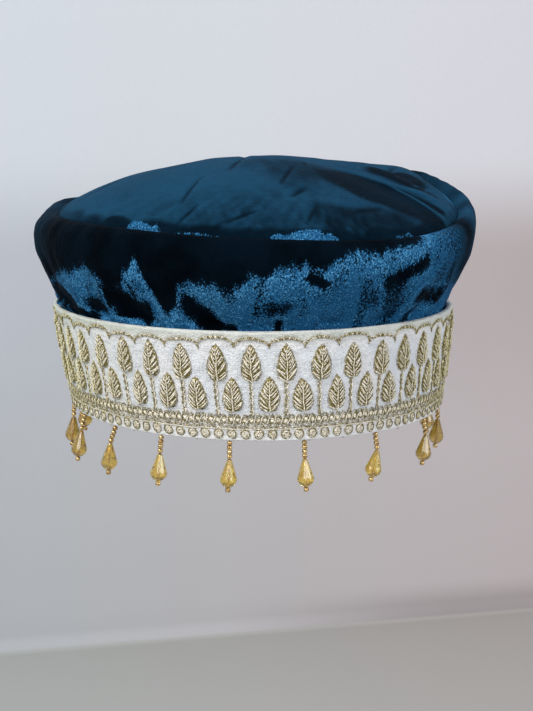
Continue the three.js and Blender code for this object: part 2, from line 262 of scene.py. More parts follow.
# ---- Nodes ------------------------------------------------------------------------------------
class Wire:
    """A node's socket that takes part in arithmetic: each operator adds its Math node."""

    def __init__(self, socket):
        self.socket = socket

    def beside(self, name):
        """Another output of the same node."""
        return Wire(self.socket.node.outputs[name])

    def math(self, operation, *values):
        return add(self.socket.id_data, "ShaderNodeMath", {"operation": operation}, dict(enumerate(values)))

    def __add__(self, other):
        return self.math("ADD", self, other)

    __radd__ = __add__

    def __sub__(self, other):
        return self.math("SUBTRACT", self, other)

    def __rsub__(self, other):
        return self.math("SUBTRACT", other, self)

    def __mul__(self, other):
        return self.math("MULTIPLY", self, other)

    __rmul__ = __mul__

    def __truediv__(self, other):
        return self.math("DIVIDE", self, other)

    def sine(self):
        return self.math("SINE", self)

    def fraction(self):
        return self.math("FRACT", self)

    def ease(self, low, high):
        """0 below low, 1 above high, and smooth between them."""
        return add(self.socket.id_data, "ShaderNodeMapRange", {"interpolation_type": "SMOOTHSTEP"},
                   {"Value": self, "From Min": low, "From Max": high})


def add(tree, kind, settings=None, sockets=None, out=0):
    """Adds one node: its settings first, then a value or a link for each socket."""
    node = tree.nodes.new(kind)
    for name, value in (settings or {}).items():
        setattr(node, name, value)
    for name, value in (sockets or {}).items():
        if isinstance(value, Wire):
            tree.links.new(value.socket, node.inputs[name])
        else:
            node.inputs[name].default_value = value
    return Wire(node.outputs[out])


def tint(tree, share, first, second):
    """A colour between two colours, each a wire or red, green and blue."""
    first, second = (c if isinstance(c, Wire) else (*c, 1) for c in (first, second))
    return add(tree, "ShaderNodeMix", {"data_type": "RGBA"}, {0: share, 6: first, 7: second}, out=2)


def vector(tree, operation, first, second=None):
    """Arithmetic on one vector and a second one, or the number that scales it."""
    sockets = {0: first}
    if second is not None:
        sockets["Scale" if operation == "SCALE" else 1] = second
    return add(tree, "ShaderNodeVectorMath", {"operation": operation}, sockets)


def split(tree, place):
    """The three numbers of a vector."""
    x = add(tree, "ShaderNodeSeparateXYZ", None, {0: place}, out="X")
    return x, x.beside("Y"), x.beside("Z")


def join(tree, **numbers):
    """A vector from its numbers X, Y and Z."""
    return add(tree, "ShaderNodeCombineXYZ", None, numbers)


def grain(tree, place, scale, contrast, detail=2.0, roughness=0.5):
    """Noise round a half, widened by its contrast."""
    sockets = {"Vector": place, "Scale": scale, "Detail": detail, "Roughness": roughness}
    return (add(tree, "ShaderNodeTexNoise", None, sockets, out="Fac") - 0.5) * contrast + 0.5


def attribute(tree, name):
    return add(tree, "ShaderNodeAttribute", {"attribute_name": name}, out="Fac")


def blank_material(name):
    """A material, its empty tree and the place on the object."""
    material = bpy.data.materials.new(name)
    material.use_nodes = True
    tree = material.node_tree
    tree.nodes.clear()
    return material, tree, add(tree, "ShaderNodeTexCoord", out="Object")


def finish(tree, base, height, bump_depth, bump_strength=1.0, **sockets):
    """The shader at the end of a material, with its bump."""
    relief = add(tree, "ShaderNodeBump", None,
                 {"Strength": bump_strength, "Distance": bump_depth, "Height": height})
    named = {label.replace("_", " "): value for label, value in sockets.items()}
    shader = add(tree, "ShaderNodeBsdfPrincipled", None, {"Base Color": base, "Normal": relief, **named})
    end = tree.nodes.new("ShaderNodeOutputMaterial")
    tree.links.new(shader.socket, end.inputs["Surface"])


def to_side(tree, place):
    """0 in front and behind, 1 at the left and right side of the cap."""
    x, _, _ = split(tree, place)
    return (x * x / HALF_WIDTH ** 2).ease(0.1, 0.8)


def velvet(crown):
    """Crushed velvet: dark where the pile lies away, with its sheen painted into the colour, speckled bright
    where it is brushed up.
    """
    material, tree, place = blank_material("crushed_velvet")
    upright = vector(tree, "MULTIPLY", place, (1, 1, 0.7))
    tuft = grain(tree, upright, 1350, 2.4, 1.5, 0.6).ease(0, 1)
    glint = grain(tree, upright, 1900, 3.0, 1, 0.5)
    clump = grain(tree, place, 420, 2.0, 2, 0.6).ease(0, 1)
    drift = grain(tree, place, 60, 2.0, 3, 0.55)
    lay, tips, nap, back = (attribute(tree, name) for name in ("lay", "tips", "nap", "back"))
    # painted sheen: where the pile is brushed up (lay) it takes the lit colour, with painted glints of
    # single tips
    lit_share = (lay * 1.34 - tuft * 0.86 - clump * 0.3).ease(0.0, 0.5)
    bright = (tips * 0.6 + glint * 0.66 + clump * 0.2 - 0.76).ease(-0.1, 0.6)
    lit = tint(tree, bright, crown.lit, crown.spark)
    quiet = tint(tree, drift.ease(0.2, 0.9), crown.dark, crown.navy)
    # painted sheen: the muted colour of pile that lies across the light; where it is low, painted shade
    soft = (nap * (0.74 + 0.2 * drift + 0.18 * tuft + 0.16 * clump)).ease(0.0, 1.03)
    quiet = tint(tree, soft, quiet, crown.soft)
    face = tint(tree, lit_share, quiet, lit)
    rows_of_weave = (split(tree, place)[2] * 9000).sine()
    woven = tint(tree, (rows_of_weave * 0.5 + 0.5) * 0.4 + clump * 0.3, crown.backing, crown.navy)
    base = tint(tree, back, face, woven)
    finish(tree, base, tuft * 0.6 + clump * 1.2, 0.00022, 0.7, Roughness=0.75, Specular_IOR_Level=0.02,
           Specular_Tint=(*paint(110, 180, 230), 1), Sheen_Weight=0.014, Sheen_Roughness=0.35,
           Sheen_Tint=(*paint(60, 140, 200), 1))
    return material


def band_cloth(band):
    """Fine white cloth, puckered between the stitches, with painted shade: a little cooler between the
    stitches, greyer at the left side and along the top margin.
    """
    material, tree, place = blank_material("white_band_cloth")
    flat = add(tree, "ShaderNodeUVMap", {"uv_map": "weave"})
    u, v, _ = split(tree, flat)
    weave = (u * 11000).sine() * (v * 11000).sine()
    slub = grain(tree, vector(tree, "MULTIPLY", flat, (1, 2.2, 1)), 900, 3, 3, 0.65)
    crumple = grain(tree, place, 190, 2.4, 4, 0.6)
    cool, aged = attribute(tree, "cool"), attribute(tree, "aged")
    # painted shade: cooler cloth among the raised stitches
    base = tint(tree, (cool * (0.7 + 0.5 * crumple)).ease(0, 1), band.cloth, band.shade)
    base = tint(tree, (slub * 0.9 + weave * 0.1).ease(0.3, 1.0) * 0.4, base, paint(172, 176, 186))
    # painted shade: greyer at the left side and along the top margin
    base = tint(tree, aged, base, paint(204, 209, 199))
    finish(tree, base, weave * 0.25 + slub * 0.5 + crumple * 3.4, 0.00036, 0.9, Roughness=0.78,
           Specular_IOR_Level=0.2, Sheen_Weight=0.08, Sheen_Roughness=0.5)
    return material


def gold_thread(band):
    """Metal thread, twisted, brighter on top of each stitch as a painted highlight, with painted glints, and
    dull in the padding as painted shade.
    """
    material, tree, place = blank_material("gold_thread")
    round_it, along, _ = split(tree, add(tree, "ShaderNodeUVMap", {"uv_map": "thread"}))
    twist = ((round_it * 2 + along * 1.6) * (2 * math.pi)).sine() * 0.5 + 0.5
    worn = grain(tree, place, 700, 2, 2, 0.6)
    glitter = grain(tree, place, 1250, 3.4, 1)
    tone = attribute(tree, "tone")
    share = (tone * (0.6 + 0.45 * worn) + twist * 0.16 + glitter * 0.9 - 0.4).ease(0.0, 1.0)
    # painted highlight: whiter gold in front, yellower at the sides of the cap where it falls away
    bright = tint(tree, to_side(tree, place), band.gold, band.yellow)
    base = tint(tree, share, band.olive, bright)
    # painted glints: white specks where the glitter and the tone are high
    base = tint(tree, (glitter + (tone - 1) * 0.45).ease(0.55, 0.95), base, paint(255, 253, 246))
    finish(tree, base, twist + worn * 0.4 + glitter * 1.6, 0.00016, 1.0, Metallic=0.12, Roughness=0.26,
           Specular_IOR_Level=0.5, Specular_Tint=(*paint(246, 232, 186), 1))
    return material


def dark_thread():
    """Ends of dark thread that show at the edges of the stitching."""
    material, tree, place = blank_material("dark_thread")
    fibre = grain(tree, place, 2600, 2, 2, 0.6)
    base = tint(tree, fibre.ease(0.1, 0.9), paint(46, 50, 66), paint(96, 96, 104))
    finish(tree, base, fibre, 0.00008, 0.6, Roughness=0.8, Specular_IOR_Level=0.2)
    return material


def amber_glass(drops):
    """Pressed amber glass with a bright coating, a little greener in places as a painted reflection of the
    coating, and darker at the sides of the cap as painted shade.
    """
    material, tree, place = blank_material("amber_glass")
    cloud = grain(tree, place, 170, 2.4)
    streak = grain(tree, vector(tree, "MULTIPLY", place, (1, 1, 0.2)), 900, 2)
    # painted reflection: greener patches for the coating's tints
    base = tint(tree, cloud.ease(0.1, 0.9), drops.amber, paint(244, 222, 112))
    # painted shade: darker at the sides of the cap
    base = tint(tree, to_side(tree, place) * 0.85, base, paint(200, 166, 76))
    base = tint(tree, streak.ease(0.4, 1.0) * 0.6, base, paint(228, 152, 60))
    finish(tree, base, streak, 0.00006, 0.5, Roughness=0.07, IOR=1.46, Transmission_Weight=0.86,
           Coat_Weight=0.8, Coat_Roughness=0.14, Coat_IOR=1.62)
    return material


def seed_glass(drops):
    """Gold lined seed beads."""
    material, tree, place = blank_material("gold_seed_beads")
    cloud = grain(tree, place, 900, 2)
    base = tint(tree, cloud.ease(0.15, 0.85), drops.brass, paint(158, 114, 50))
    finish(tree, base, cloud, 0.00004, 0.5, Metallic=0.6, Roughness=0.14, Transmission_Weight=0.4, IOR=1.5,
           Coat_Weight=0.9, Coat_Roughness=0.04)
    return material


# ---- Shapes -----------------------------------------------------------------------------------
def mix(a, b, share):
    return a + (b - a) * share


def bump(distance, width):
    return np.exp(-(distance / width) ** 2)


def ease(value, low, high):
    share = np.clip((value - low) / (high - low), 0, 1)
    return share * share * (3 - 2 * share)


def turn(start, angle):
    """Degrees from one angle to another, the short way round."""
    return (angle - start + 180) % 360 - 180


def near(at, angles, wide):
    """1 at an angle, and less and less beside it."""
    return bump(turn(at, angles), wide)


def circle(count):
    """Even turns of a circle, in radians."""
    return np.arange(count) * 2 * math.pi / count


def unit(vectors):
    return vectors / np.maximum(np.linalg.norm(vectors, axis=-1, keepdims=True), 1e-9)


def beside_line(x, y, start, end):
    """Distance from a line between two places, and the share of the way along it."""
    dx, dy = end[0] - start[0], end[1] - start[1]
    share = np.clip(((x - start[0]) * dx + (y - start[1]) * dy) / (dx * dx + dy * dy), 0, 1)
    return np.hypot(x - start[0] - share * dx, y - start[1] - share * dy), share


def beside_stroke(angles, z, from_angle, from_z, to_angle, to_z):
    """Distance on the wall, in mm, from a stroke between two places of an angle and a height."""
    middle = (from_angle + to_angle) / 2
    start, end = ((from_angle - middle) * A_DEGREE, from_z), ((to_angle - middle) * A_DEGREE, to_z)
    return beside_line(turn(middle, angles) * A_DEGREE, z, start, end)[0]


def ripples(angles, heights, seed, around, slant, waves=16):
    """Soft uneven waves that close round the cap, about -1 to 1."""
    rng = np.random.default_rng(seed)
    total = 0
    for _ in range(waves):
        count = rng.integers(around[0], around[1] + 1)
        lean, start = rng.uniform(-slant, slant), rng.uniform(0, 6.3)
        total = total + np.sin(count * np.radians(angles) + lean * heights + start)
    return total / math.sqrt(waves * 2) / 0.8


def around_crown(angles, column):
    """Follows one column of CROWN_SECTIONS smoothly round the cap."""
    values = np.array([section[column] for section in CROWN_SECTIONS], float)
    steps = ((np.asarray(angles, float) + 135) % 360) / 45
    at = np.floor(steps).astype(int) % 8
    t = steps - np.floor(steps)
    a, b, c, d = (values[(at + k) % 8] for k in (-1, 0, 1, 2))
    into, out = (c - a) / 2, (d - b) / 2
    return b + into * t + (3 * (c - b) - 2 * into - out) * t ** 2 + (2 * (b - c) + into + out) * t ** 3


def gather_depth(angles, share):
    """How far the gathers draw the wall in, at a share of its height."""
    depth = 0
    for at, drift, wide, deep, tall in ALL_GATHERS:
        fade = max(0, 1 - share / tall) ** 1.3 * min(1, 0.35 + 9 * share)
        depth = depth + deep * fade * near(at + drift * share, angles, wide * (0.8 + share))
    return depth


def on_oval(angles, radius, z, oval):
    turned = np.radians(angles)
    return np.stack(np.broadcast_arrays(radius * np.sin(turned), -oval * radius * np.cos(turned), z), -1)


def leaned(points, band):
    """Points moved across as the band leans, and less and less above it."""
    up = points[..., 2]
    shift = mix(band.foot_shift, band.top_shift, np.clip(up * MM / band.height, 0, 1)) / MM
    return points + np.stack([shift * (1 - ease(up, 46, 62)), 0 * up, 0 * up], -1)


def outward(grid):
    """Normals of a grid of points that closes round its columns."""
    across = np.roll(grid, -1, 1) - np.roll(grid, 1, 1)
    return unit(np.cross(across, np.gradient(grid, axis=0)))


def shell_mesh(name, rows, columns, attributes, uv=None, poles=False):
    """Closes rows of points into a shell. The last row joins the first, unless both are single points."""
    points, starts = [], []
    for row in rows:
        starts.append(len(points))
        points.extend(row if len(row) > 1 else row[:1])
    faces, corners = [], []
    count = len(rows)
    for i in range(count - 1 if poles else count):
        below, above = starts[i], starts[(i + 1) % count]
        single_below, single_above = len(rows[i]) == 1, len(rows[(i + 1) % count]) == 1
        for j in range(columns):
            k = (j + 1) % columns
            if single_below:
                faces.append((below, above + k, above + j))
            elif single_above:
                faces.append((below + j, below + k, above))
            else:
                faces.append((below + j, below + k, above + k, above + j))
            if uv:
                corners.extend(uv(*corner) for corner in ((j, i), (j + 1, i), (j + 1, i + 1), (j, i + 1)))
    mesh = bpy.data.meshes.new(name)
    mesh.from_pydata((np.array(points) * MM).tolist(), [], faces)
    for key, values in attributes.items():
        layer = mesh.attributes.new(key, "FLOAT", "POINT")
        layer.data.foreach_set("value", np.asarray(values, np.float32))
    if uv:
        layer = mesh.uv_layers.new(name="weave")
        layer.data.foreach_set("uv", np.array(corners, np.float32).ravel())
    mesh.shade_smooth()
    return mesh


def place_object(name, mesh):
    body = bpy.data.objects.new(name, mesh)
    bpy.context.scene.collection.objects.link(body)
    return body


def dressed(name, mesh, material):
    """Puts a finished mesh in the scene, in its material."""
    mesh.materials.clear()
    mesh.materials.append(material)
    return place_object(name, mesh)


def piece(name, mesh, material, nodes=()):
    """A piece of the cap, in its material, which may stand for solids of the frame."""
    body = dressed(name, mesh, material)
    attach(body, "root")
    if nodes:
        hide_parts(*nodes)
    return body


# ---- The crown --------------------------------------------------------------------------------
def wall_rows(band):
    """The crown wall's outer rows from the tuck in the band to the seam: radius, height, bend."""
    angles = np.arange(WALL_COLUMNS) * (360 / WALL_COLUMNS)
    seam_z, seam_r, widest, reach = (around_crown(angles, column) for column in (1, 2, 3, 4))
    lift = 0
    for at, wide, out, up in SWELLS:
        reach = reach + out * near(at, angles, wide)
        lift = lift + up * near(at, angles, wide)
    widest = widest + lift / 2
    inside, rim = (band.radius - band.wall) / MM - GAP, band.height / MM + GAP
    rows = [(inside - 0.9 * (1 - share) - share * gather_depth(angles, 0), rim - TUCK * (1 - share), 0)
            for share in np.linspace(0, 1, 6)[:-1]]
    pucker = np.abs(ripples(angles, 0, 3, (46, 84), 0))
    left, far_left, right = near(-92, angles, 30), near(-70, angles, 13), near(92, angles, 34)
    for share in np.linspace(0, 1, 60):
        z = mix(rim, widest, share)
        flare = math.sin(share * math.pi / 2) ** 0.9
        r = mix(inside, reach, flare) - gather_depth(angles, share)
        r = r - 0.55 * pucker * max(0, 1 - share / 0.35) ** 1.5 * min(1, share * 8)
        crush = ripples(angles, z, 11, (12, 34), 0.16) * 0.55 + ripples(angles, z, 12, (34, 74), 0.3) * 0.26
        r = r + crush * min(1, share * 6) * (0.35 + 0.65 * math.sin(math.pi * min(1, share + 0.1)))
        r = r + left * (1.1 * bump(z - 52, 5) * ease(z, 46, 49) - 1.4 * bump(z - 66, 4.5))
        r = r + 2.7 * far_left * bump(z - 47.9, 1.5)
        r = r + right * (0.8 * (1 - ease(z, 47, 54)) * ease(z, 46, 48) - 0.8 * bump(z - 66, 9))
        rows.append((r, z, 0))
    folds = ripples(angles, 0, 21, (26, 70), 0)
    folded = 0.35 + 0.65 * (near(-70, angles, 22) + near(150, angles, 50)).clip(0, 1)
    for bend in np.linspace(0, 90, 30)[1:]:
        over, double = math.sin(math.radians(bend)), math.sin(math.radians(2 * bend))
        come_in = 0 if bend == 90 else math.cos(math.radians(bend)) ** 0.85
        z = mix(widest, seam_z, over) + lift * double / 2
        crush = ripples(angles, z, 11, (12, 34), 0.16) * 0.2 * come_in + folds * folded * 0.4 * double
        drawn = SEAM_DROP * math.exp(-((90 - bend) / 14) ** 2)
        rows.append((mix(seam_r, reach, come_in) + crush, z - drawn, bend))
    return angles, rows


def wall_pile_and_painted_sheen(angles, z, bend):
    """How far the wall's pile is brushed up and painted with its sheen, how far it lies across the light and
    is painted a muted sheen, how many tips shine as painted glints.
    """
    signed = turn(0, angles)
    edge = np.interp(signed, *np.transpose(LIT_EDGE))
    behind = 66 + 9 * ripples(angles, 0, 31, (5, 19), 0)
    edge = mix(edge, behind, np.maximum(ease(signed, 76, 92), ease(-signed, 74, 90)))
    edge = edge + 1.0 * ripples(angles, z, 32, (60, 150), 0.4)
    lay = ease(edge - z, -3.4, 3.8) * (0.9 + 0.12 * ripples(angles, z, 35, (18, 70), 0.5))
    tips = 0.36 + (0.38 - 0.16 * ease(-signed, 50, 60)) * bump(edge - z - 4.5, 5.5)
    wobble = 0.7 * ripples(angles, z, 33, (50, 110), 0.5)
    # painted shade in each gather behind the ears
    gather_shade_dents = [(at, 46, at + drift * 0.6, 59, 4.5, 0.85) for at, drift, *_ in ALL_GATHERS if at > 72]
    for *stroke, wide, strength in DARK_DENTS + gather_shade_dents:
        away = beside_stroke(angles, z, *stroke)
        lay = lay * (1 - strength * (1 - ease(away + wobble, wide * 0.2, wide * 1.8)))
        tips = np.maximum(tips, 0.8 * strength * bump(away - wide * 1.7, 1.6))
    for *stroke, wide, strength in LIT_STROKES:
        away = beside_stroke(angles, z, *stroke)
        lay = np.maximum(lay, strength * (1 - ease(away + 0.3 * wobble, wide * 0.5, wide * 1.6)))
    # painted sheen, muted: at the right, as a rim at the left, and across the back
    back = np.maximum(ease(signed, 76, 96), ease(-signed, 80, 100))
    right = ease(signed, 48, 68) * ease(z, 52, 66) * (1 - ease(signed, 100, 130))
    left = ease(-signed, 58, 76) * ease(z, 60, 72) * (1 - ease(-signed, 96, 136))
    cloudy = 0.5 + 0.5 * ripples(angles, z, 34, (6, 26), 0.12)
    swept = 0.86 + 0.3 * ripples(angles, z, 36, (9, 30), 0.3)
    swept = swept * (1 - 0.75 * bump(signed - 68, 5) * ease(z, 62, 66))
    nap = np.maximum(0.7 * right * swept + 0.3 * left + 0.28 * back * cloudy, 0.25 * lay)
    # the painted sheen is weaker at the right and higher up, and is kept off the shoulder except between
    # about 40 and 90 degrees to the right
    lay = lay * (1 - 0.76 * right) * mix(1.02, 0.9, ease(z, 54, 64))
    lay = lay * (1 - ease(bend, 20, 70) * (1 - ease(signed, 38, 48) * (1 - ease(signed, 84, 96))))
    return lay, nap.clip(0, 1), tips * (1 - 0.35 * right)


def seam_allowance(angles, oval, steps):
    """Rows of cloth turned down at the top seam: how far in and how far down each of them lies."""
    seam_z, seam_r = around_crown(angles, 1), around_crown(angles, 2)
    return [on_oval(angles, seam_r - inward, seam_z - SEAM_DROP - down, oval) for inward, down in steps]


def make_wall(cap):
    """The gathered wall of the crown, with its tuck in the band and its seam allowance."""
    oval, thick = cap.crown.oval, cap.crown.wall / MM
    angles, rows = wall_rows(cap.band)
    grid = leaned(np.array([on_oval(angles, r, z, oval) for r, z, _ in rows]), cap.band)
    sheen_masks = np.array([wall_pile_and_painted_sheen(angles, z, bend) for _, z, bend in rows])
    seam = seam_allowance(angles, oval, ((0.4, 1.0), (1.0, 2.6), (2.4, 2.8)))
    followed = [86, 80, 74, 66, 58, 50, 42, 34, 27, 21, 16, 12, 9, 6, 3, 0]  # outer rows, from the seam down
    inner = (grid - outward(grid) * thick)[followed]
    every = [*grid, *seam, *inner]
    attributes = {name: np.zeros((len(every), WALL_COLUMNS)) for name in ("lay", "nap", "tips", "back")}
    for number, name in enumerate(("lay", "nap", "tips")):
        attributes[name][:len(grid)] = sheen_masks[:, number]
    attributes["back"][-len(inner):] = 1
    return shell_mesh("crown_wall", every, WALL_COLUMNS, {key: v.ravel() for key, v in attributes.items()})


def top_height(angles, share, oval):
    """The top panel's upper side, without its creases, and the place under each point of it."""
    x, y, _ = np.moveaxis(on_oval(angles, share * around_crown(angles, 2), 0, oval), -1, 0)
    fold = 0
    for start, end, high, wide in TOP_FOLDS:
        away, along = beside_line(x, y, start, end)
        fold = fold + high * bump(away, wide) * (1 - 0.6 * along)
    dome = DOME_RISE * max(0, 1 - share ** 2) ** 0.8
    return mix(DOME_FOOT, around_crown(angles, 1), share ** 1.6) + dome + fold * (1 - share ** 8), x, y


def creased_height(angles, share, oval):
    """The top panel's upper side with its creases and a slight unevenness."""
    z, x, y = top_height(angles, share, oval)
    for start, end, high, wide in TOP_CREASES:
        away, along = beside_line(x, y, start, end)
        z = z + high * bump(away, wide) * (1 - share ** 10) * np.sin(math.pi * (0.12 + 0.76 * along)) ** 0.6
    uneven = (0.35 * ripples(angles, share * 90, 41, (2, 9), 0.14) * share
              + 0.22 * ripples(angles, share * 90, 42, (8, 30), 0.2) * share ** 3)
    return z + uneven * (1 - share ** 12), x, y


def top_painted_sheen_and_shade(angles, share, x, y, inward):
    """How far the top panel's pile lies across the light and is painted with its muted sheen, less in
    painted shade.
    """
    def wave(seed, around, slant):
        return ripples(angles, share * 90, seed, around, slant)

    front = ease(-y, 30, 80)
    # painted light: lighter towards the left
    nap = mix(0.84, 1.0, ease(-x, -50, 40))
    for start, end, wide, strength in PAINTED_SHADE_PATCHES:
        away = beside_line(x, y, start, end)[0] + wide * 0.22 * wave(43, (4, 24), 0.2)
        nap = nap * (1 - strength * (1 - ease(away, wide * 0.35, wide * 1.55)))
    # painted shade towards the front, with a little uneven sheen there
    nap = nap * (1 - 0.42 * ease(-y, 46, 100)) + 0.07 * front * wave(47, (14, 60), 0.6)
    nap = nap + 0.07 * ease(-y, 62, 92) * wave(48, (60, 140), 1.2)
    # painted shade where the panel is drawn down into the seam, more at the front
    nap = nap * (1 - (0.35 + 0.45 * front) * (1 - ease(inward + 1.2 * wave(44, (10, 40), 0.2), 0.8, 4.8)))
    # painted highlight along raised ridges, painted shade in creases, with a little painted light beside
    # them
    for start, end, high, wide in TOP_CREASES:
        away, along = beside_line(x, y, start, end)
        fade = np.sin(math.pi * (0.1 + 0.8 * along))
        line, beyond = bump(away, wide * 0.65) * fade ** 0.6, bump(away - wide * 1.5, wide * 0.8) * fade
        nap = mix(nap, 1.0, 0.95 * line) if high > 0 else nap * (1 - 0.6 * line) * (1 + 0.12 * beyond)
    return (np.maximum(nap, 0.2) * (0.95 + 0.1 * wave(46, (2, 8), 0.1))).clip(0, 1)


def top_painted_seam_sheen(angles, inward):
    """How far the top panel's pile is brushed up and painted with bright sheen, in narrow patches beside the
    seam.
    """
    lay = np.zeros_like(angles)
    ragged = 1 + 0.3 * ripples(angles, 0, 45, (60, 150), 0)
    for start, end, deep, strength in LIT_PATCHES:
        middle, half = (start + end) / 2, (end - start) / 2
        edge = deep * (1 - (turn(middle, angles) / half) ** 2).clip(0, 1) ** 0.5 * ragged
        lay = np.maximum(lay, strength * (1 - ease(inward, edge * 0.7, edge * 1.1 + 0.01)) * (edge > 0.2))
    return lay


def make_top(cap):
    """The oval top panel, with its folds and creases, drawn down into the seam."""
    oval, thick = cap.crown.oval, cap.crown.wall / MM
    angles = np.arange(TOP_COLUMNS) * (360 / TOP_COLUMNS)
    rim = around_crown(angles, 2)
    rows, seam_sheen_rows, sheen_rows = [], [], []
    for share in [1, *np.linspace(0.995, 0.9, 16), *np.linspace(0.89, 0.02, 76)]:
        z, x, y = creased_height(angles, share, oval)
        drawn = SEAM_DROP * math.exp(-((1 - share) * 92 / 1.4) ** 2)
        rows.append(on_oval(angles, share * rim - 0.1, z - drawn, oval))
        seam_sheen_rows.append(top_painted_seam_sheen(angles, (1 - share) * rim))
        sheen_rows.append(top_painted_sheen_and_shade(angles, share, x, y, (1 - share) * rim))
    seam = seam_allowance(angles, oval, ((2.2, 2.6), (1.0, 2.4), (0.35, 1.0)))
    under = [on_oval(angles, share * rim, creased_height(angles, share, oval)[0] - thick, oval)
             for share in (0.12, 0.3, 0.48, 0.64, 0.78, 0.88, 0.95, 0.975)]
    peak = float(top_height(angles, 0.0, oval)[0].mean())
    every = [np.array([[0, 0, peak - thick]]), *under, *seam, *rows, np.array([[0, 0, peak]])]
    inside = 1 + len(under) * TOP_COLUMNS
    hidden = inside + len(seam) * TOP_COLUMNS
    count = hidden + len(rows) * TOP_COLUMNS + 1
    return shell_mesh("crown_panel", every, TOP_COLUMNS, {
        "lay": [*np.zeros(hidden), *np.ravel(seam_sheen_rows), 0],
        "nap": [*np.zeros(hidden), *np.ravel(sheen_rows), 0.95],
        "tips": np.full(count, 0.5),
        "back": np.arange(count) < inside,
    }, poles=True)


class CAP_OT_crown(bpy.types.Operator):
    """Makes the gathered velvet wall and the oval top panel"""
    bl_idname = "velvet_cap.crown"
    bl_label = "Crown"

    def execute(self, context):
        cap = context.scene.velvet_cap
        cloth = velvet(cap.crown)
        wall = piece("crown_wall", make_wall(cap), cloth, ["crown_side"])
        panel = piece("crown_panel", make_top(cap), cloth, ["crown_top"])
        return {"FINISHED"}


# ---- The band and its embroidery --------------------------------------------------------------
def band_outline(high, wall):
    """Height and outward offset of the band's outer and inner side."""
    outer = [(0.0, -0.9), (0.05, -0.35), (0.3, -0.02)]
    outer += [(h, 0.0) for h in np.linspace(0.8, high - 0.8, 52)]
    outer += [(high - 0.35, -0.1), (high - 0.08, -0.4), (high, -0.9)]
    inner = [(high, -wall + 0.6), (high - 0.6, -wall), *[(h, -wall) for h in np.linspace(high - 6, 6, 6)]]
    return outer, inner + [(0.5, -wall), (0, -wall + 0.6)]


def make_band(cap):
    """The stiff white band: a tapered oval ring with a turned hem and slight puckers."""
    band, oval = cap.band, cap.crown.oval
    angles = -180 + np.arange(BAND_COLUMNS) * (360 / BAND_COLUMNS)
    foot, high, taper = (band.radius - band.taper) / MM, band.height / MM, band.taper / MM
    outer, inner = band_outline(high, band.wall / MM)
    rows, cool, shade_rows = [], [], []
    # painted shade at the left side of the band, over a faint uneven tint all round
    aged = 0.8 * near(-86, angles, 42) + 0.04 * (1 + ripples(angles, 0, 55, (3, 12), 0))
    for h, out in outer:
        wave = 0.10 * ripples(angles, h, 51, (20, 60), 0.25) + 0.05 * ripples(angles, h, 52, (60, 160), 0.7)
        swell = wave * math.sin(math.pi * min(max(h / high, 0.02), 0.98)) ** 0.4
        hem = 0.22 * math.exp(-((h - 0.9) / 0.8) ** 2) - 0.12 * math.exp(-((h - 2.1) / 0.5) ** 2)
        lip = 0.2 * math.exp(-((high - h - 0.8) / 0.7) ** 2)
        edge = 0.18 * ripples(angles, 0, 53, (4, 22), 0) * ease(h, high - 3, high)
        rows.append(on_oval(angles, foot + taper * h / high + out + swell + hem + lip, h + edge, oval))
        # painted shade on the cloth among the embroidery, from the rings up to the scallops
        among = ease(h, 7, 12) * (1 - ease(h, 38, 41))
        cool.append(among * (0.75 + 0.4 * ripples(angles, h, 54, (12, 60), 0.2)))
        # more painted shade along the top margin, which faces up into the light
        shade_rows.append(aged + 0.65 * ease(h, 40.5, 43.5))
    for h, out in inner:
        rows.append(on_oval(angles, foot + taper * h / high + out, h, oval))
        cool.append(0 * angles)
        shade_rows.append(aged)
    heights = [h for h, _ in outer + inner] + [0.0]
    return shell_mesh("white_band", leaned(np.array(rows), band), BAND_COLUMNS, {
        "cool": np.ravel(cool).clip(0, 1), "aged": np.ravel(shade_rows).clip(0, 1),
    }, uv=lambda j, i: (STRIP * MM * j / BAND_COLUMNS, heights[i] * MM))


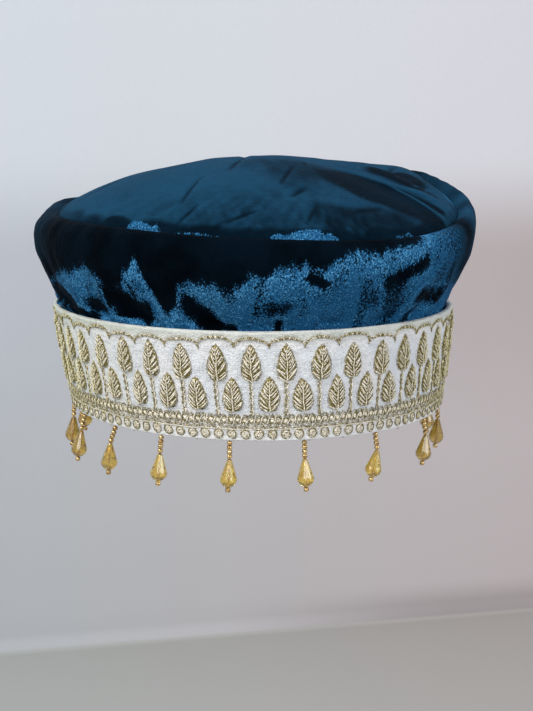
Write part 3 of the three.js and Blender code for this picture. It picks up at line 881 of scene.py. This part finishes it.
class Stitching:
    """Gathers bits of thread, laid flat with x along the band, y up it and z out of it, in mm."""

    def __init__(self):
        self.points, self.faces, self.along, self.tones = [], [], [], []

    def lay(self, points, faces, along, tone):
        start = len(self.points)
        self.points.extend(points)
        self.faces.extend(tuple(start + k for k in face) for face in faces)
        self.along.extend(along)
        self.tones.extend([tone] * len(points) if np.isscalar(tone) else tone)

    def thread(self, path, radius, tone, sides=5, end=0.45, closed=False):
        """A round thread along a path, with ends of a share of its thickness unless it is closed."""
        path = np.asarray(path, float)
        count = len(path)
        ahead = unit(np.roll(path, -1, 0) - np.roll(path, 1, 0) if closed else np.gradient(path, axis=0))
        side = unit(np.cross(ahead, (0, 0, 1.0)))
        up = np.cross(side, ahead)
        walked = [0, *np.cumsum(np.linalg.norm(np.diff(path, axis=0), axis=1))]
        size = np.full((count, 1, 1), float(radius))
        if not closed:
            size[[0, -1]] *= end
        turned = circle(sides)[:, None]
        points = path[:, None] + size * (np.cos(turned) * side[:, None] + np.sin(turned) * up[:, None])
        faces, along = [], []
        for i in range(count if closed else count - 1):
            n = (i + 1) % count
            near_end, far_end = walked[i], walked[n] if n else walked[i] + 0.4
            for j in range(sides):
                k = (j + 1) % sides
                faces.append((i * sides + j, i * sides + k, n * sides + k, n * sides + j))
                along.extend([(j / sides, near_end), ((j + 1) / sides, near_end),
                              ((j + 1) / sides, far_end), (j / sides, far_end)])
        if not closed:
            faces.append(tuple(range(sides))[::-1])
            faces.append(tuple((count - 1) * sides + j for j in range(sides)))
            along.extend([(0, walked[0])] * sides + [(0, walked[-1])] * sides)
        self.lay(points.reshape(-1, 3).tolist(), faces, along, tone)

    def cushion(self, outline, height, tone):
        """A low padded shape under the stitches, inside a flat outline."""
        outline = np.asarray(outline, float)
        count, middle = len(outline), outline.mean(0)
        rings = [(1.0, 0.0), (0.97, 0.45), (0.75, 0.8), (0.4, 0.97)]
        points = [(*(middle + (spot - middle) * share), height * up) for share, up in rings
                  for spot in outline]
        points.append((*middle, height))
        faces = [tuple(range(count))[::-1]]
        for start in range(0, (len(rings) - 1) * count, count):
            for j in range(count):
                k = (j + 1) % count
                faces.append((start + j, start + k, start + count + k, start + count + j))
        last = (len(rings) - 1) * count
        faces.extend((last + j, last + (j + 1) % count, len(points) - 1) for j in range(count))
        self.lay(points, faces, [(0.0, 0.0)] * sum(len(face) for face in faces), tone)

    def mesh(self, name):
        mesh = bpy.data.meshes.new(name)
        mesh.from_pydata((np.array(self.points) * MM).tolist(), [], self.faces)
        mesh.uv_layers.new(name="thread").data.foreach_set("uv", np.array(self.along, np.float32).ravel())
        tones = mesh.attributes.new("tone", "FLOAT", "POINT")
        tones.data.foreach_set("value", np.array(self.tones, np.float32))
        mesh.shade_smooth()
        return mesh


def oval_path(count, wide, tall, *z, x=0.0, y=0.0):
    """Points round an oval, flat or at a height."""
    return [(x + wide * math.cos(t), y + tall * math.sin(t), *z) for t in circle(count)]


def leaf_width(up, tall, wide):
    """Half width of a leaf at a height above its foot."""
    from_tip = min(max(1 - up / tall, 0), 1)
    return wide / 2 * from_tip ** 0.75 * (1 - from_tip) ** 0.38 / 0.486


def along_stitch(step, foot, lean, curl):
    """A place on a stitch that leaves the midrib at its foot, and curls upwards."""
    return step * math.cos(lean), foot + step * math.sin(lean) + curl * step ** 2


def leaf(work, rng, tall, wide, radius):
    """A padded leaf of slanting stitches that spring from the midrib, with the padding between them."""
    def half(up):
        return leaf_width(up, tall, wide)

    side = [(half(u) * 0.9, u) for u in np.linspace(0.03, 0.97, 12) * tall]
    # the padding's dull tone is its own colour and painted shade between the stitches
    work.cushion(side + [(-x, u) for x, u in side[::-1]], 0.45, -0.1)
    for way, foot in ((-1, 0.25), (1, 0.75)):
        while foot < tall * 0.88:
            lean = math.radians(mix(20, 62, (foot / tall) ** 0.7) + rng.uniform(-11, 11))
            curl, over = rng.uniform(0.05, 0.1), rng.uniform(0.94, 1.1)
            reach = 0.3
            x, y = along_stitch(reach, foot, lean, curl)
            while reach < 9 and y <= tall and x <= half(y) * over:
                reach += 0.08
                x, y = along_stitch(reach, foot, lean, curl)
            reach = max(reach, 0.9)
            tone, size = rng.uniform(0.55, 1.25), radius * rng.uniform(0.8, 1.15)
            upper = (rng.uniform(0.0, 0.2), 0.93, size, tone, 1.3, 0.0)
            lower = (0.5, 1.0, size * 0.7, tone * 0.6, 0.9, 0.42)
            for start, end, thick, shade, lift, sink in (upper, lower):
                path, shades = [], []
                for step in np.linspace(reach * start, reach * end, 7):
                    # painted highlight a little past each stitch's middle, painted shade towards its ends
                    shades.extend([shade * (0.3 + 1.15 * bump(step / reach - 0.62, 0.34))] * 5)
                    x, y = along_stitch(step, foot - sink * step / reach, lean, curl)
                    inner = min(1, x / max(half(y), 0.3))
                    path.append((way * x, y, ON_CLOTH + thick * lift + 0.75 * math.sqrt(1 - inner ** 2)))
                work.thread(path, thick, shades)
            foot += rng.uniform(0.98, 1.12) / math.cos(lean)
    midrib = [(0.12 * math.sin(u), u, 1.15) for u in np.linspace(-0.3, tall * 0.92, 12)]
    work.thread(midrib, radius * 0.95, 1.1)
    rim = [(half(u) + rng.uniform(-0.2, 0.2), u, ON_CLOTH) for u in np.linspace(0, 1, 23)[:-1] * tall]
    rim += [(0, tall + 0.25, ON_CLOTH)] + [(-x, y, z) for x, y, z in rim[::-1]]
    work.thread(rim, radius * 0.55, 0.35)


def leaves(tall, wide, pitch, radius, seed):
    """Three leaves side by side, no two quite alike."""
    work, rng = Stitching(), np.random.default_rng(seed)
    for n in (-1, 0, 1):
        start = len(work.points)
        leaf(work, rng, tall * rng.uniform(0.96, 1.04), wide * rng.uniform(0.93, 1.07), radius)
        lean, shift = rng.uniform(-0.05, 0.05), n * pitch + rng.uniform(-0.3, 0.3)
        work.points[start:] = [(x + lean * y + shift, y, z) for x, y, z in work.points[start:]]
    return work


def scallop(pitch, radius, top):
    """One arch: a line of short stitches, two cords under slanting stitches, and a cusp at each end."""
    work, half = Stitching(), pitch / 2

    def arch(x, gap):
        return top + gap - 2.2 * abs(x / half) ** 2.2

    for number in range(13):
        x = half * (number - 6) / 6.5
        work.thread([(x + s, arch(x + s, 0.85), ON_CLOTH) for s in (-0.34, 0, 0.34)], radius * 0.5,
                    0.8 + 0.4 * (number % 2))
    for gap, tone in ((-0.05, 0.0), (-0.62, 0.35)):
        work.thread([(x, arch(x, gap * math.cos(x / half * 1.5) - 0.1), 0.2)
                     for x in np.linspace(-0.96 * half, 0.96 * half, 17)], radius * 1.25, tone)
    for number in range(19):
        x = half * (number - 9) / 9.5
        broad = math.cos(x / half * 1.5)
        slope = 1.5 * broad * (1 if x > 0 else -1)
        work.thread([(x + s, arch(x + s, -0.35) + s * slope, 0.4 + 0.1 * (s == 0)) for s in (-0.5, 0, 0.5)],
                    radius * (0.8 + 0.3 * broad), (0.1, 1.0, 0.3)[number % 3])
    for side in (-1, 1):
        for shift, tone in ((0, 0.1), (0.5, 0.6)):
            cusp = ((1.7 - shift, 1.4, 0.2), (0.8 - shift * 0.6, 2.4, 0.3), (0.06, 3.7, 0.24))
            work.thread([(side * (half - x), top - y, z) for x, y, z in cusp], radius * 1.2, tone)
    work.thread([(half, top - 2.0, 0.3), (half, top - 3.2, 0.34), (half + 0.1, top - 4.5, 0.2)],
                radius * 1.3, 0.1)
    return work


def stem(tall, radius):
    """Two cords that cross again and again, one paler than the other."""
    work = Stitching()
    for way, tone in ((-1, 0.1), (1, 0.85)):
        work.thread([(way * (0.42 + 0.26 * math.sin(u * 2.2)), u, 0.3 + 0.14 * way * math.cos(u * 2.2))
                     for u in np.linspace(-0.4, tall, 34)], radius * 1.3, tone)
    for side in (-1, 1):
        work.thread([(side * 0.95, -1.0, 0.3), (side * 0.5, 0.2, 0.4), (side * 0.1, 1.6, 0.5)],
                    radius * 0.9, 0.6)
    return work


def ring_link(pitch, radius):
    """One ring of the border with its pale middle, and the threads that cross above, below and beside it."""
    work, half = Stitching(), pitch / 2
    work.thread(oval_path(14, 1.2, 1.3, 0.3), radius * 0.95, 0.0, closed=True)
    work.cushion(oval_path(14, 0.95, 1.05), 0.22, 1.05)
    for way, tone in ((-1, 0.0), (1, 1.3)):
        work.thread([(half + way * x, y, 0.32 + 0.12 * way)
                     for x, y in ((-1.0, -2.1), (-0.4, -0.8), (0.1, 0.6), (1.0, 2.1))], radius * 0.9, tone)
    work.thread(oval_path(7, 0.72, 0.62, 0.36, x=half, y=-2.2), radius * 0.75, 0.2, closed=True)
    for side, tone in ((1, 0.3), (-1, 1.5)):
        work.thread([(-1.35, side * 1.4, 0.2), (-0.6, side * 2.15, 0.3), (0.5, side * 2.25, 0.3),
                     (1.3, side * 1.5, 0.2)], radius * 0.8, tone)
    work.thread([(-0.9, 2.7, 0.2), (-0.1, 1.9, 0.3), (0.7, 2.6, 0.2)], radius * 0.6, 0.2)
    return work


def cord_length(pitch, radius):
    """A straight length of doubled cord for the line round the band."""
    work = Stitching()
    for gap, tone in ((-0.3, 1.1), (0.32, 0.35)):
        work.thread([(x, gap + 0.06 * math.sin(x * 5), 0.2)
                     for x in np.linspace(-pitch / 2 - 0.15, pitch / 2 + 0.15, 13)], radius, tone, end=0.8)
    return work


def coin(radius):
    """A pale padded disc under a coil of thread, inside a duller ring."""
    work = Stitching()
    ring = [((1.95 + 0.12 * math.sin(3 * t)) * math.cos(t), 1.98 * math.sin(t), 0.26) for t in circle(18)]
    work.thread(ring, radius * 0.9, 0.0, closed=True)
    work.cushion(oval_path(18, 1.72, 1.75), 0.2, 1.15)
    coil = []
    for share in np.linspace(0, 1, 30):
        t, out = 2.2 * 2 * math.pi * share, 0.3 + 1.14 * share
        coil.append((out * math.cos(t), out * math.sin(t), 0.36 - 0.1 * share))
    work.thread(coil, radius * 0.75, [(1.3, 2.1, 0.2)[(k // 10) % 3] for k in range(150)])
    work.thread([(-0.5, 1.6, 0.3), (0.1, 2.3, 0.34), (0.7, 1.7, 0.3)], radius * 0.7, 0.3)
    return work


def stitch_marks(pitch):
    """The small dark ends of thread in one repeat."""
    work, rng = Stitching(), np.random.default_rng(61)
    high, deep = 40.6, 0.08
    for x in np.linspace(-pitch / 2 + 1.2, pitch / 2 - 1.2, 9):
        work.thread([(x - 0.22, high, deep), (x + 0.22, high + rng.uniform(-0.1, 0.1), deep)],
                    0.1, 0.5, sides=4)
    for centre, low, tall, wide in ((0, UPPER_LEAVES, 15, 7.9), (pitch / 2, LOWER_LEAVES, 14.6, 7.8)):
        for up in (0.3, 0.42, 0.55, 0.68):
            for way in (-1, 1):
                x = centre + way * (leaf_width(up * tall, tall, wide) + 0.42 + rng.uniform(-0.1, 0.15))
                y = low + up * tall + rng.uniform(-0.5, 0.5)
                work.thread([(x, y - 0.2, deep), (x + way * 0.12, y + 0.22, deep)], 0.13, 0.5, sides=4)
    return work


def loose_end():
    """A short gold end that peeps out below the hem."""
    work = Stitching()
    work.thread([(-0.5, 0.25, -0.5), (-0.2, -0.35, -0.45), (0.3, -0.45, -0.4), (0.6, 0.2, -0.45)], 0.16, 0.6)
    return work


# ---- Geometry Nodes ---------------------------------------------------------------------------
WRAP_INPUTS = {
    "Motif": "Object", "Count": "Int", "Pitch": "Float", "First": "Float", "Row height": "Float",
    "Round": "Float", "Lower radius": "Float", "Upper radius": "Float", "Band height": "Float",
    "Oval": "Float", "Lean": "Float", "Foot shift": "Float", "Top shift": "Float", "Seed": "Int",
    "Finish": "Material",
}
HANG_INPUTS = {"Motif": "Object", "Places": "Object", "Finish": "Material"}


def blank_tree(name, inputs):
    """A new Geometry Nodes tree with named inputs, and a wire for each."""
    tree = bpy.data.node_groups.new(name, "GeometryNodeTree")
    for label, kind in {"Geometry": "Geometry", **inputs}.items():
        tree.interface.new_socket(label, in_out="INPUT", socket_type="NodeSocket" + kind)
    tree.interface.new_socket("Geometry", in_out="OUTPUT", socket_type="NodeSocketGeometry")
    start = tree.nodes.new("NodeGroupInput")
    return tree, {label: Wire(start.outputs[label]) for label in inputs}


def close_tree(tree, shape, material):
    shape = add(tree, "GeometryNodeRealizeInstances", None, {"Geometry": shape})
    shape = add(tree, "GeometryNodeSetMaterial", None, {"Geometry": shape, "Material": material})
    tree.links.new(shape.socket, tree.nodes.new("NodeGroupOutput").inputs[0])
    return tree


def wrap_tree():
    """Repeats a motif along a line and wraps the line round the leaning oval band."""
    tree, given = blank_tree("wrapped_embroidery", WRAP_INPUTS)
    line = add(tree, "GeometryNodeMeshLine", None, {
        "Count": given["Count"], "Offset": join(tree, X=given["Pitch"]),
        "Start Location": join(tree, X=given["First"], Y=given["Row height"])})
    motif = add(tree, "GeometryNodeObjectInfo", None, {"Object": given["Motif"]}, out="Geometry")
    swung = add(tree, "FunctionNodeRandomValue", {"data_type": "FLOAT_VECTOR"},
                {0: (0, 0, -1), 1: (0, 0, 1), "Seed": given["Seed"]})
    size = add(tree, "FunctionNodeRandomValue", {"data_type": "FLOAT_VECTOR"},
               {0: (0.96, 0.97, 0.9), 1: (1.04, 1.03, 1.12), "Seed": given["Seed"] + 7})
    leaning = vector(tree, "SCALE", swung, given["Lean"])
    copies = add(tree, "GeometryNodeInstanceOnPoints", None,
                 {"Points": line, "Instance": motif, "Rotation": leaning, "Scale": size})
    flat = add(tree, "GeometryNodeRealizeInstances", None, {"Geometry": copies})

    place = add(tree, "GeometryNodeInputPosition")
    wander = add(tree, "ShaderNodeTexNoise", None,
                 {"Vector": place, "Scale": 240.0, "Detail": 1.0}, out="Color")
    wander = vector(tree, "MULTIPLY", vector(tree, "SUBTRACT", wander, (0.5, 0.5, 0.5)), (0.0011, 0.0011, 0))
    x, y, z = split(tree, vector(tree, "ADD", place, wander))
    ring = add(tree, "GeometryNodeCurvePrimitiveCircle", None, {"Resolution": 1440, "Radius": 1.0})
    stretched = join(tree, X=given["Oval"], Y=1.0, Z=1.0)
    ring = add(tree, "GeometryNodeTransform", None,
               {"Geometry": ring, "Rotation": (0, 0, -math.pi / 2), "Scale": stretched})
    spot = add(tree, "GeometryNodeSampleCurve", {"mode": "FACTOR"},
               {"Curves": ring, "Factor": (x / given["Round"] + 4).fraction()}, out="Position")
    widening, up_share = given["Upper radius"] - given["Lower radius"], y / given["Band height"]
    facing = vector(tree, "NORMALIZE", vector(tree, "CROSS_PRODUCT", spot.beside("Tangent"), (0, 0, 1)))
    shift = given["Foot shift"] + (given["Top shift"] - given["Foot shift"]) * up_share
    spot = vector(tree, "SCALE", spot, given["Lower radius"] + widening * up_share)
    spot = vector(tree, "ADD", spot, vector(tree, "SCALE", facing, z))
    spot = vector(tree, "ADD", spot, join(tree, X=shift, Z=y - z * (widening / given["Band height"])))
    bent = add(tree, "GeometryNodeSetPosition", None, {"Geometry": flat, "Position": spot})
    return close_tree(tree, bent, given["Finish"])


def hang_tree():
    """Puts a motif at each place, turned as that place's turn attribute says."""
    tree, given = blank_tree("hanging_fringe", HANG_INPUTS)
    motif, places = (add(tree, "GeometryNodeObjectInfo", None, {"Object": given[label]}, out="Geometry")
                     for label in ("Motif", "Places"))
    turned = add(tree, "GeometryNodeInputNamedAttribute", {"data_type": "FLOAT_VECTOR"}, {"Name": "turn"})
    copies = add(tree, "GeometryNodeInstanceOnPoints", None,
                 {"Points": places, "Instance": motif, "Rotation": turned})
    return close_tree(tree, copies, given["Finish"])


def grow(name, tree, inputs, **helpers):
    """Runs a tree with its inputs set, some of them helper meshes, and keeps the result as a plain mesh."""
    helpers = {label: place_object(f"{name}_{label}", mesh) for label, mesh in helpers.items()}
    inputs = {**inputs, **helpers}
    carrier = place_object(name + "_maker", bpy.data.meshes.new(name))
    modifier = carrier.modifiers.new("maker", "NODES")
    modifier.node_group = tree
    for item in tree.interface.items_tree:
        if item.item_type == "SOCKET" and item.in_out == "INPUT" and item.name in inputs:
            modifier[item.identifier] = inputs[item.name]
    carrier.update_tag()
    evaluated = carrier.evaluated_get(bpy.context.evaluated_depsgraph_get())
    mesh = bpy.data.meshes.new_from_object(evaluated)
    if not mesh.polygons:
        raise RuntimeError(f"{name} came out empty")
    carrier.modifiers.clear()
    for spare in (carrier, *helpers.values()):
        bpy.data.objects.remove(spare)
    mesh.name = name
    return mesh


class CAP_OT_band(bpy.types.Operator):
    """Makes the white band and all the gold embroidery on it"""
    bl_idname = "velvet_cap.band"
    bl_label = "Embroidered band"

    def execute(self, context):
        cap = context.scene.velvet_cap
        band = cap.band
        thread, pitch, thirds = band.thread / MM, STRIP / band.repeats, band.repeats // 3
        link, first = pitch / 5, -2.0 - 21 * pitch
        gold, dark, tree = gold_thread(band), dark_thread(), wrap_tree()
        upper = leaves(15.4, 8.5, pitch, thread * 1.08, 71)
        lower = leaves(14.6, 8.5, pitch, thread * 1.08, 72)
        arches = scallop(pitch, thread, TOP_LINE)
        # name, motif, how many, from one to the next, start, height, how far they lean, material
        rows = [
            ("upper_leaves", upper, thirds, 3 * pitch, first + 0.8, UPPER_LEAVES, 0.01, gold),
            ("lower_leaves", lower, thirds, 3 * pitch, first + pitch / 2 + 0.3, LOWER_LEAVES, 0.01, gold),
            ("scallop_cords", arches, band.repeats, pitch, first + 1.2, 0, 0.0, gold),
            ("leaf_stems", stem(13.9, thread), band.repeats, pitch, first + 0.4, 11.6, 0.02, gold),
            ("ring_border", ring_link(link, thread), band.repeats * 5, link, first, 9.1, 0.3, gold),
            ("border_line", cord_length(pitch, thread), band.repeats, pitch, first, 5.6, 0.0, gold),
            ("coin_row", coin(thread), band.coins, STRIP / band.coins, first, 3.1, 0.6, gold),
            ("stitch_marks", stitch_marks(pitch), band.repeats, pitch, first, 0, 0.0, dark),
            ("loose_ends", loose_end(), 37, STRIP / 37, first, 0, 0.3, gold),
        ]
        for seed, (name, work, count, step, start, height, lean, material) in enumerate(rows):
            mesh = grow(name, tree, {
                "Count": count, "Pitch": step * MM, "First": start * MM, "Row height": height * MM,
                "Round": STRIP * MM, "Lower radius": band.radius - band.taper, "Upper radius": band.radius,
                "Band height": band.height, "Oval": cap.crown.oval, "Lean": lean, "Seed": seed * 3 + 1,
                "Foot shift": band.foot_shift, "Top shift": band.top_shift, "Finish": material,
            }, Motif=work.mesh(name + "_motif"))
            piece(name, mesh, material)
        cloth = piece("white_band", make_band(cap), band_cloth(band), ["embroidered_band"])
        return {"FINISHED"}


# ---- The fringe -------------------------------------------------------------------------------
def turned_mesh(name, outline, sides, twists=None):
    """A closed shape turned from an outline of radius and height, top first. Twists make it faceted."""
    shifts = twists or [0] * len(outline)
    points, faces = [], []
    for (r, z), shift in zip(outline, shifts):
        points += [(r * math.cos(t), r * math.sin(t), z) for t in shift * math.pi / sides + circle(sides)]
    for i in range(len(outline) - 1):
        low, high = (i + 1) * sides, i * sides
        for j in range(sides):
            k = (j + 1) % sides
            if shifts[i] == shifts[i + 1]:
                faces.append((low + j, low + k, high + k, high + j))
            else:
                faces += [(high + j, low + j, high + k), (low + j, low + k, high + k)]
    faces.append(tuple(range(sides)))
    faces.append(tuple((len(outline) - 1) * sides + k for k in range(sides))[::-1])
    mesh = bpy.data.meshes.new(name)
    mesh.from_pydata((np.array(points) * MM).tolist(), [], faces)
    if not twists:
        mesh.shade_smooth()
    return mesh


def join_meshes(name, parts):
    """One mesh from several, each moved down by its own amount in millimetres."""
    points, faces = [], []
    for mesh, down in parts:
        start = len(points)
        points += [(v.co.x, v.co.y, v.co.z - down * MM) for v in mesh.vertices]
        faces += [tuple(start + k for k in polygon.vertices) for polygon in mesh.polygons]
    joined = bpy.data.meshes.new(name)
    joined.from_pydata(points, [], faces)
    joined.shade_smooth()
    return joined


def bead_meshes(drops):
    """The glass drop, the string of seed beads above it and the stopper bead below it, and its top."""
    sizes = (drops.tear_length, drops.tear_radius, drops.seed_radius, drops.seed_height)
    tall, wide, r, h = (size / MM for size in sizes)
    top = -(2 * GAP + drops.seeds * h)
    facets = [(0.8, 0), (1.1, -0.45), (wide * 0.90, -tall * 0.60), (wide, -tall * 0.70),
              (wide * 0.93, -tall * 0.82), (wide * 0.66, -tall * 0.93), (wide * 0.36, -tall)]
    tear = turned_mesh("tear", facets, 12, twists=[0, 0, 0, 1, 2, 3, 3])
    seed = turned_mesh("seed", [(r * 0.42, -0.02), (r * 0.82, -h * 0.12), (r, -h * 0.34), (r, -h * 0.66),
                                (r * 0.82, -h * 0.88), (r * 0.42, -h + 0.02)], 12)
    thread = turned_mesh("thread", [(STRING, 0.9), (STRING, top - GAP)], 8)
    lower_thread = turned_mesh("lower_thread", [(STRING, 0.2), (STRING, -tall - 1.2)], 8)
    string = join_meshes("string", [(seed, GAP + n * h) for n in range(drops.seeds)] + [(thread, 0)])
    return tear, string, join_meshes("stopper", [(seed, tall + GAP), (lower_thread, 0)]), top


def turned_places(name, places, turns):
    """Places for a motif, each with its turn."""
    spots = bpy.data.meshes.new(name + "_places")
    spots.from_pydata(places, [], [])
    layer = spots.attributes.new("turn", "FLOAT_VECTOR", "POINT")
    layer.data.foreach_set("vector", np.array(turns, np.float32).ravel())
    return spots


class CAP_OT_fringe(bpy.types.Operator):
    """Makes the glass drops and the seed beads they hang from"""
    bl_idname = "velvet_cap.fringe"
    bl_label = "Fringe of drops"

    def execute(self, context):
        cap = context.scene.velvet_cap
        band = cap.band
        tear, string, stopper, tear_top = bead_meshes(cap.drops)
        tops, pivots, swings, hangs = [], [], [], []
        for number, (at, swing, hang) in enumerate(DROPS):
            radius = (band.radius - band.taper - band.wall / 2) / MM
            top = Vector(on_oval(np.array(at), radius, 0, cap.crown.oval) * MM)
            swung = Matrix.Rotation(math.radians(-swing), 3, "Y")
            spun = Matrix.Rotation(math.radians(11 + 6 * math.sin(2.6 * number)), 3, "Z")
            tops.append(tuple(top))
            pivots.append(tuple(top + swung @ Vector((0, 0, tear_top * MM))))
            swings.append((0, math.radians(-swing), 0))
            hangs.append(tuple((Matrix.Rotation(math.radians(-hang), 3, "Y") @ spun).to_euler()))
        tree, glass, gold = hang_tree(), amber_glass(cap.drops), seed_glass(cap.drops)
        for name, shape, places, turns, material, slot, node in (
            ("glass_drops", tear, pivots, hangs, glass, "amber_glass", "drop_bead"),
            ("seed_strings", string, tops, swings, gold, "gold_beads", "drop_strand"),
            ("drop_stoppers", stopper, pivots, hangs, gold, "gold_beads", None),
        ):
            spots = turned_places(name, places, turns)
            mesh = grow(name, tree, {"Finish": material}, Motif=shape, Places=spots)
            nodes = [f"{node}_{n + 1:02d}" for n in range(len(DROPS))] if node else []
            piece(name, mesh, material, nodes)
        return {"FINISHED"}


# ---- The stage --------------------------------------------------------------------------------
def backdrop_paper(stage):
    """Pale paper, warmer at the right and greyer on the floor, with painted light that makes it lighter
    behind the cap and a painted shadow above the floor.
    """
    material, tree, place = blank_material("backdrop_paper")
    x, _, z = split(tree, place)
    across = x.ease(-0.45, 0.45)
    upper = tint(tree, across, paint(218, 224, 231), paint(232, 231, 238))
    lower = tint(tree, across, paint(194, 200, 209), paint(198, 187, 187))
    lowest = tint(tree, across, paint(193, 196, 200), paint(210, 201, 202))
    ground = tint(tree, across, paint(187, 189, 185), paint(189, 184, 180))
    # painted light: lighter towards the top, behind the cap
    base = tint(tree, z.ease(-0.35, -0.1), lowest, lower)
    base = tint(tree, z.ease(-0.06, 0.09), base, upper)
    # painted shadow on the wall just above the floor, deeper towards the right
    floor_shadow = 1 - z.ease(stage.floor, stage.floor + 0.055)
    base = tint(tree, floor_shadow * (0.05 + 0.45 * x.ease(-0.1, 0.3)), base, paint(120, 112, 112))
    base = tint(tree, z.ease(stage.floor + 0.001, stage.floor + 0.004), ground, base)
    fibre = grain(tree, place, 300, 2, 3, 0.6)
    base = tint(tree, fibre.ease(0, 1) * 0.04, base, paint(160, 160, 160))
    finish(tree, base, fibre, 0.0002, 0.2, Roughness=0.9, Specular_IOR_Level=0.1)
    return material


def backdrop_mesh(stage):
    """The floor and the back wall in one sheet, with a small bend between them, turned a little."""
    radius, half = 0.02, 3.5
    profile = [(-2.6, stage.floor), (stage.wall - radius, stage.floor)]
    for bend in np.linspace(0, math.pi / 2, 8):
        before, above = radius * (1 - math.sin(bend)), radius * (1 - math.cos(bend))
        profile.append((stage.wall - before, stage.floor + above))
    profile.append((stage.wall, 3.0))
    slant = Matrix.Rotation(math.radians(13.5), 3, "Z")
    points = [slant @ Vector((x, y, z)) for y, z in profile for x in (-half, half)]
    mesh = bpy.data.meshes.new("backdrop")
    mesh.from_pydata(points, [], [(2 * k, 2 * k + 1, 2 * k + 3, 2 * k + 2) for k in range(len(profile) - 1)])
    mesh.shade_smooth()
    return mesh


def aim_camera(scene, stage):
    camera = place_object("camera", bpy.data.cameras.new("camera"))
    scene.camera = camera
    camera.data.lens = stage.lens
    camera.data.clip_start = 0.01
    up_share, level = math.sin(stage.elevation), math.cos(stage.elevation)
    back, up = Vector((0, -level, up_share)), Vector((0, up_share, level))
    turns = ((stage.roll, "Z"), (stage.pan, "Y"), (stage.tilt, "X"))
    roll, pan, tilt = (Matrix.Rotation(angle, 3, axis) for angle, axis in turns)
    looks = roll @ pan @ tilt @ Matrix(((1, 0, 0), up, back))
    spot = Vector((0, 0, stage.aim)) + back * stage.distance
    camera.matrix_world = Matrix.Translation(spot) @ looks.transposed().to_4x4()


def soft_light(name, spot, aim, size, power, tone):
    lamp = bpy.data.lights.new(name, "AREA")
    lamp.shape, lamp.size, lamp.energy, lamp.color = "DISK", size, power, tone
    body = place_object(name, lamp)
    body.location = spot
    body.rotation_euler = (Vector(aim) - Vector(spot)).to_track_quat("-Z", "Y").to_euler()


class CAP_OT_stage(bpy.types.Operator):
    """Makes the pale backdrop, the soft light and the camera"""
    bl_idname = "velvet_cap.stage"
    bl_label = "Stage"

    def execute(self, context):
        scene, stage = context.scene, context.scene.velvet_cap.stage
        aim_camera(scene, stage)
        dressed("backdrop", backdrop_mesh(stage), backdrop_paper(stage))
        soft_light("key_light", (-0.9, -1.0, 1.25), (0, 0, 0.04), 0.9, stage.key, (1.0, 0.99, 0.97))
        soft_light("fill_light", (1.2, -0.8, 0.6), (0, 0, 0.04), 0.9, stage.fill, (0.96, 0.98, 1.0))
        soft_light("glint_light", (-0.12, -0.9, 0.36), (0, 0, 0.03), 0.3, stage.glint, (1.0, 1.0, 0.98))
        scene.world = bpy.data.worlds.new("soft_room")
        scene.world.use_nodes = True
        room = scene.world.node_tree.nodes["Background"].inputs
        room["Color"].default_value = (0.93, 0.96, 1.0, 1)
        room["Strength"].default_value = stage.sky
        scene.view_settings.view_transform = "Standard"
        return {"FINISHED"}


class CAP_PT_panel(bpy.types.Panel):
    """Lists the steps that build the cap"""
    bl_idname = "CAP_PT_panel"
    bl_label = "Velvet Cap"
    bl_space_type = "VIEW_3D"
    bl_region_type = "UI"
    bl_category = "Velvet Cap"

    def draw(self, context):
        cap = context.scene.velvet_cap
        steps = {"crown": CAP_OT_crown, "band": CAP_OT_band, "drops": CAP_OT_fringe, "stage": CAP_OT_stage}
        for label, step in steps.items():
            box, group = self.layout.box(), getattr(cap, label)
            for name in group.bl_rna.properties.keys():
                if name not in ("rna_type", "name"):
                    box.prop(group, name)
            box.operator(step.bl_idname)


CLASSES = (CrownSettings, BandSettings, DropSettings, StageSettings, CapSettings,
           CAP_OT_crown, CAP_OT_band, CAP_OT_fringe, CAP_OT_stage, CAP_PT_panel)


def register():
    for made in CLASSES:
        bpy.utils.register_class(made)
    bpy.types.Scene.velvet_cap = PointerProperty(type=CapSettings)


def unregister():
    del bpy.types.Scene.velvet_cap
    for made in reversed(CLASSES):
        bpy.utils.unregister_class(made)


def main():
    register()
    bpy.ops.velvet_cap.stage()
    bpy.ops.velvet_cap.crown()
    bpy.ops.velvet_cap.band()
    bpy.ops.velvet_cap.fringe()


if __name__ == "__main__":
    main()
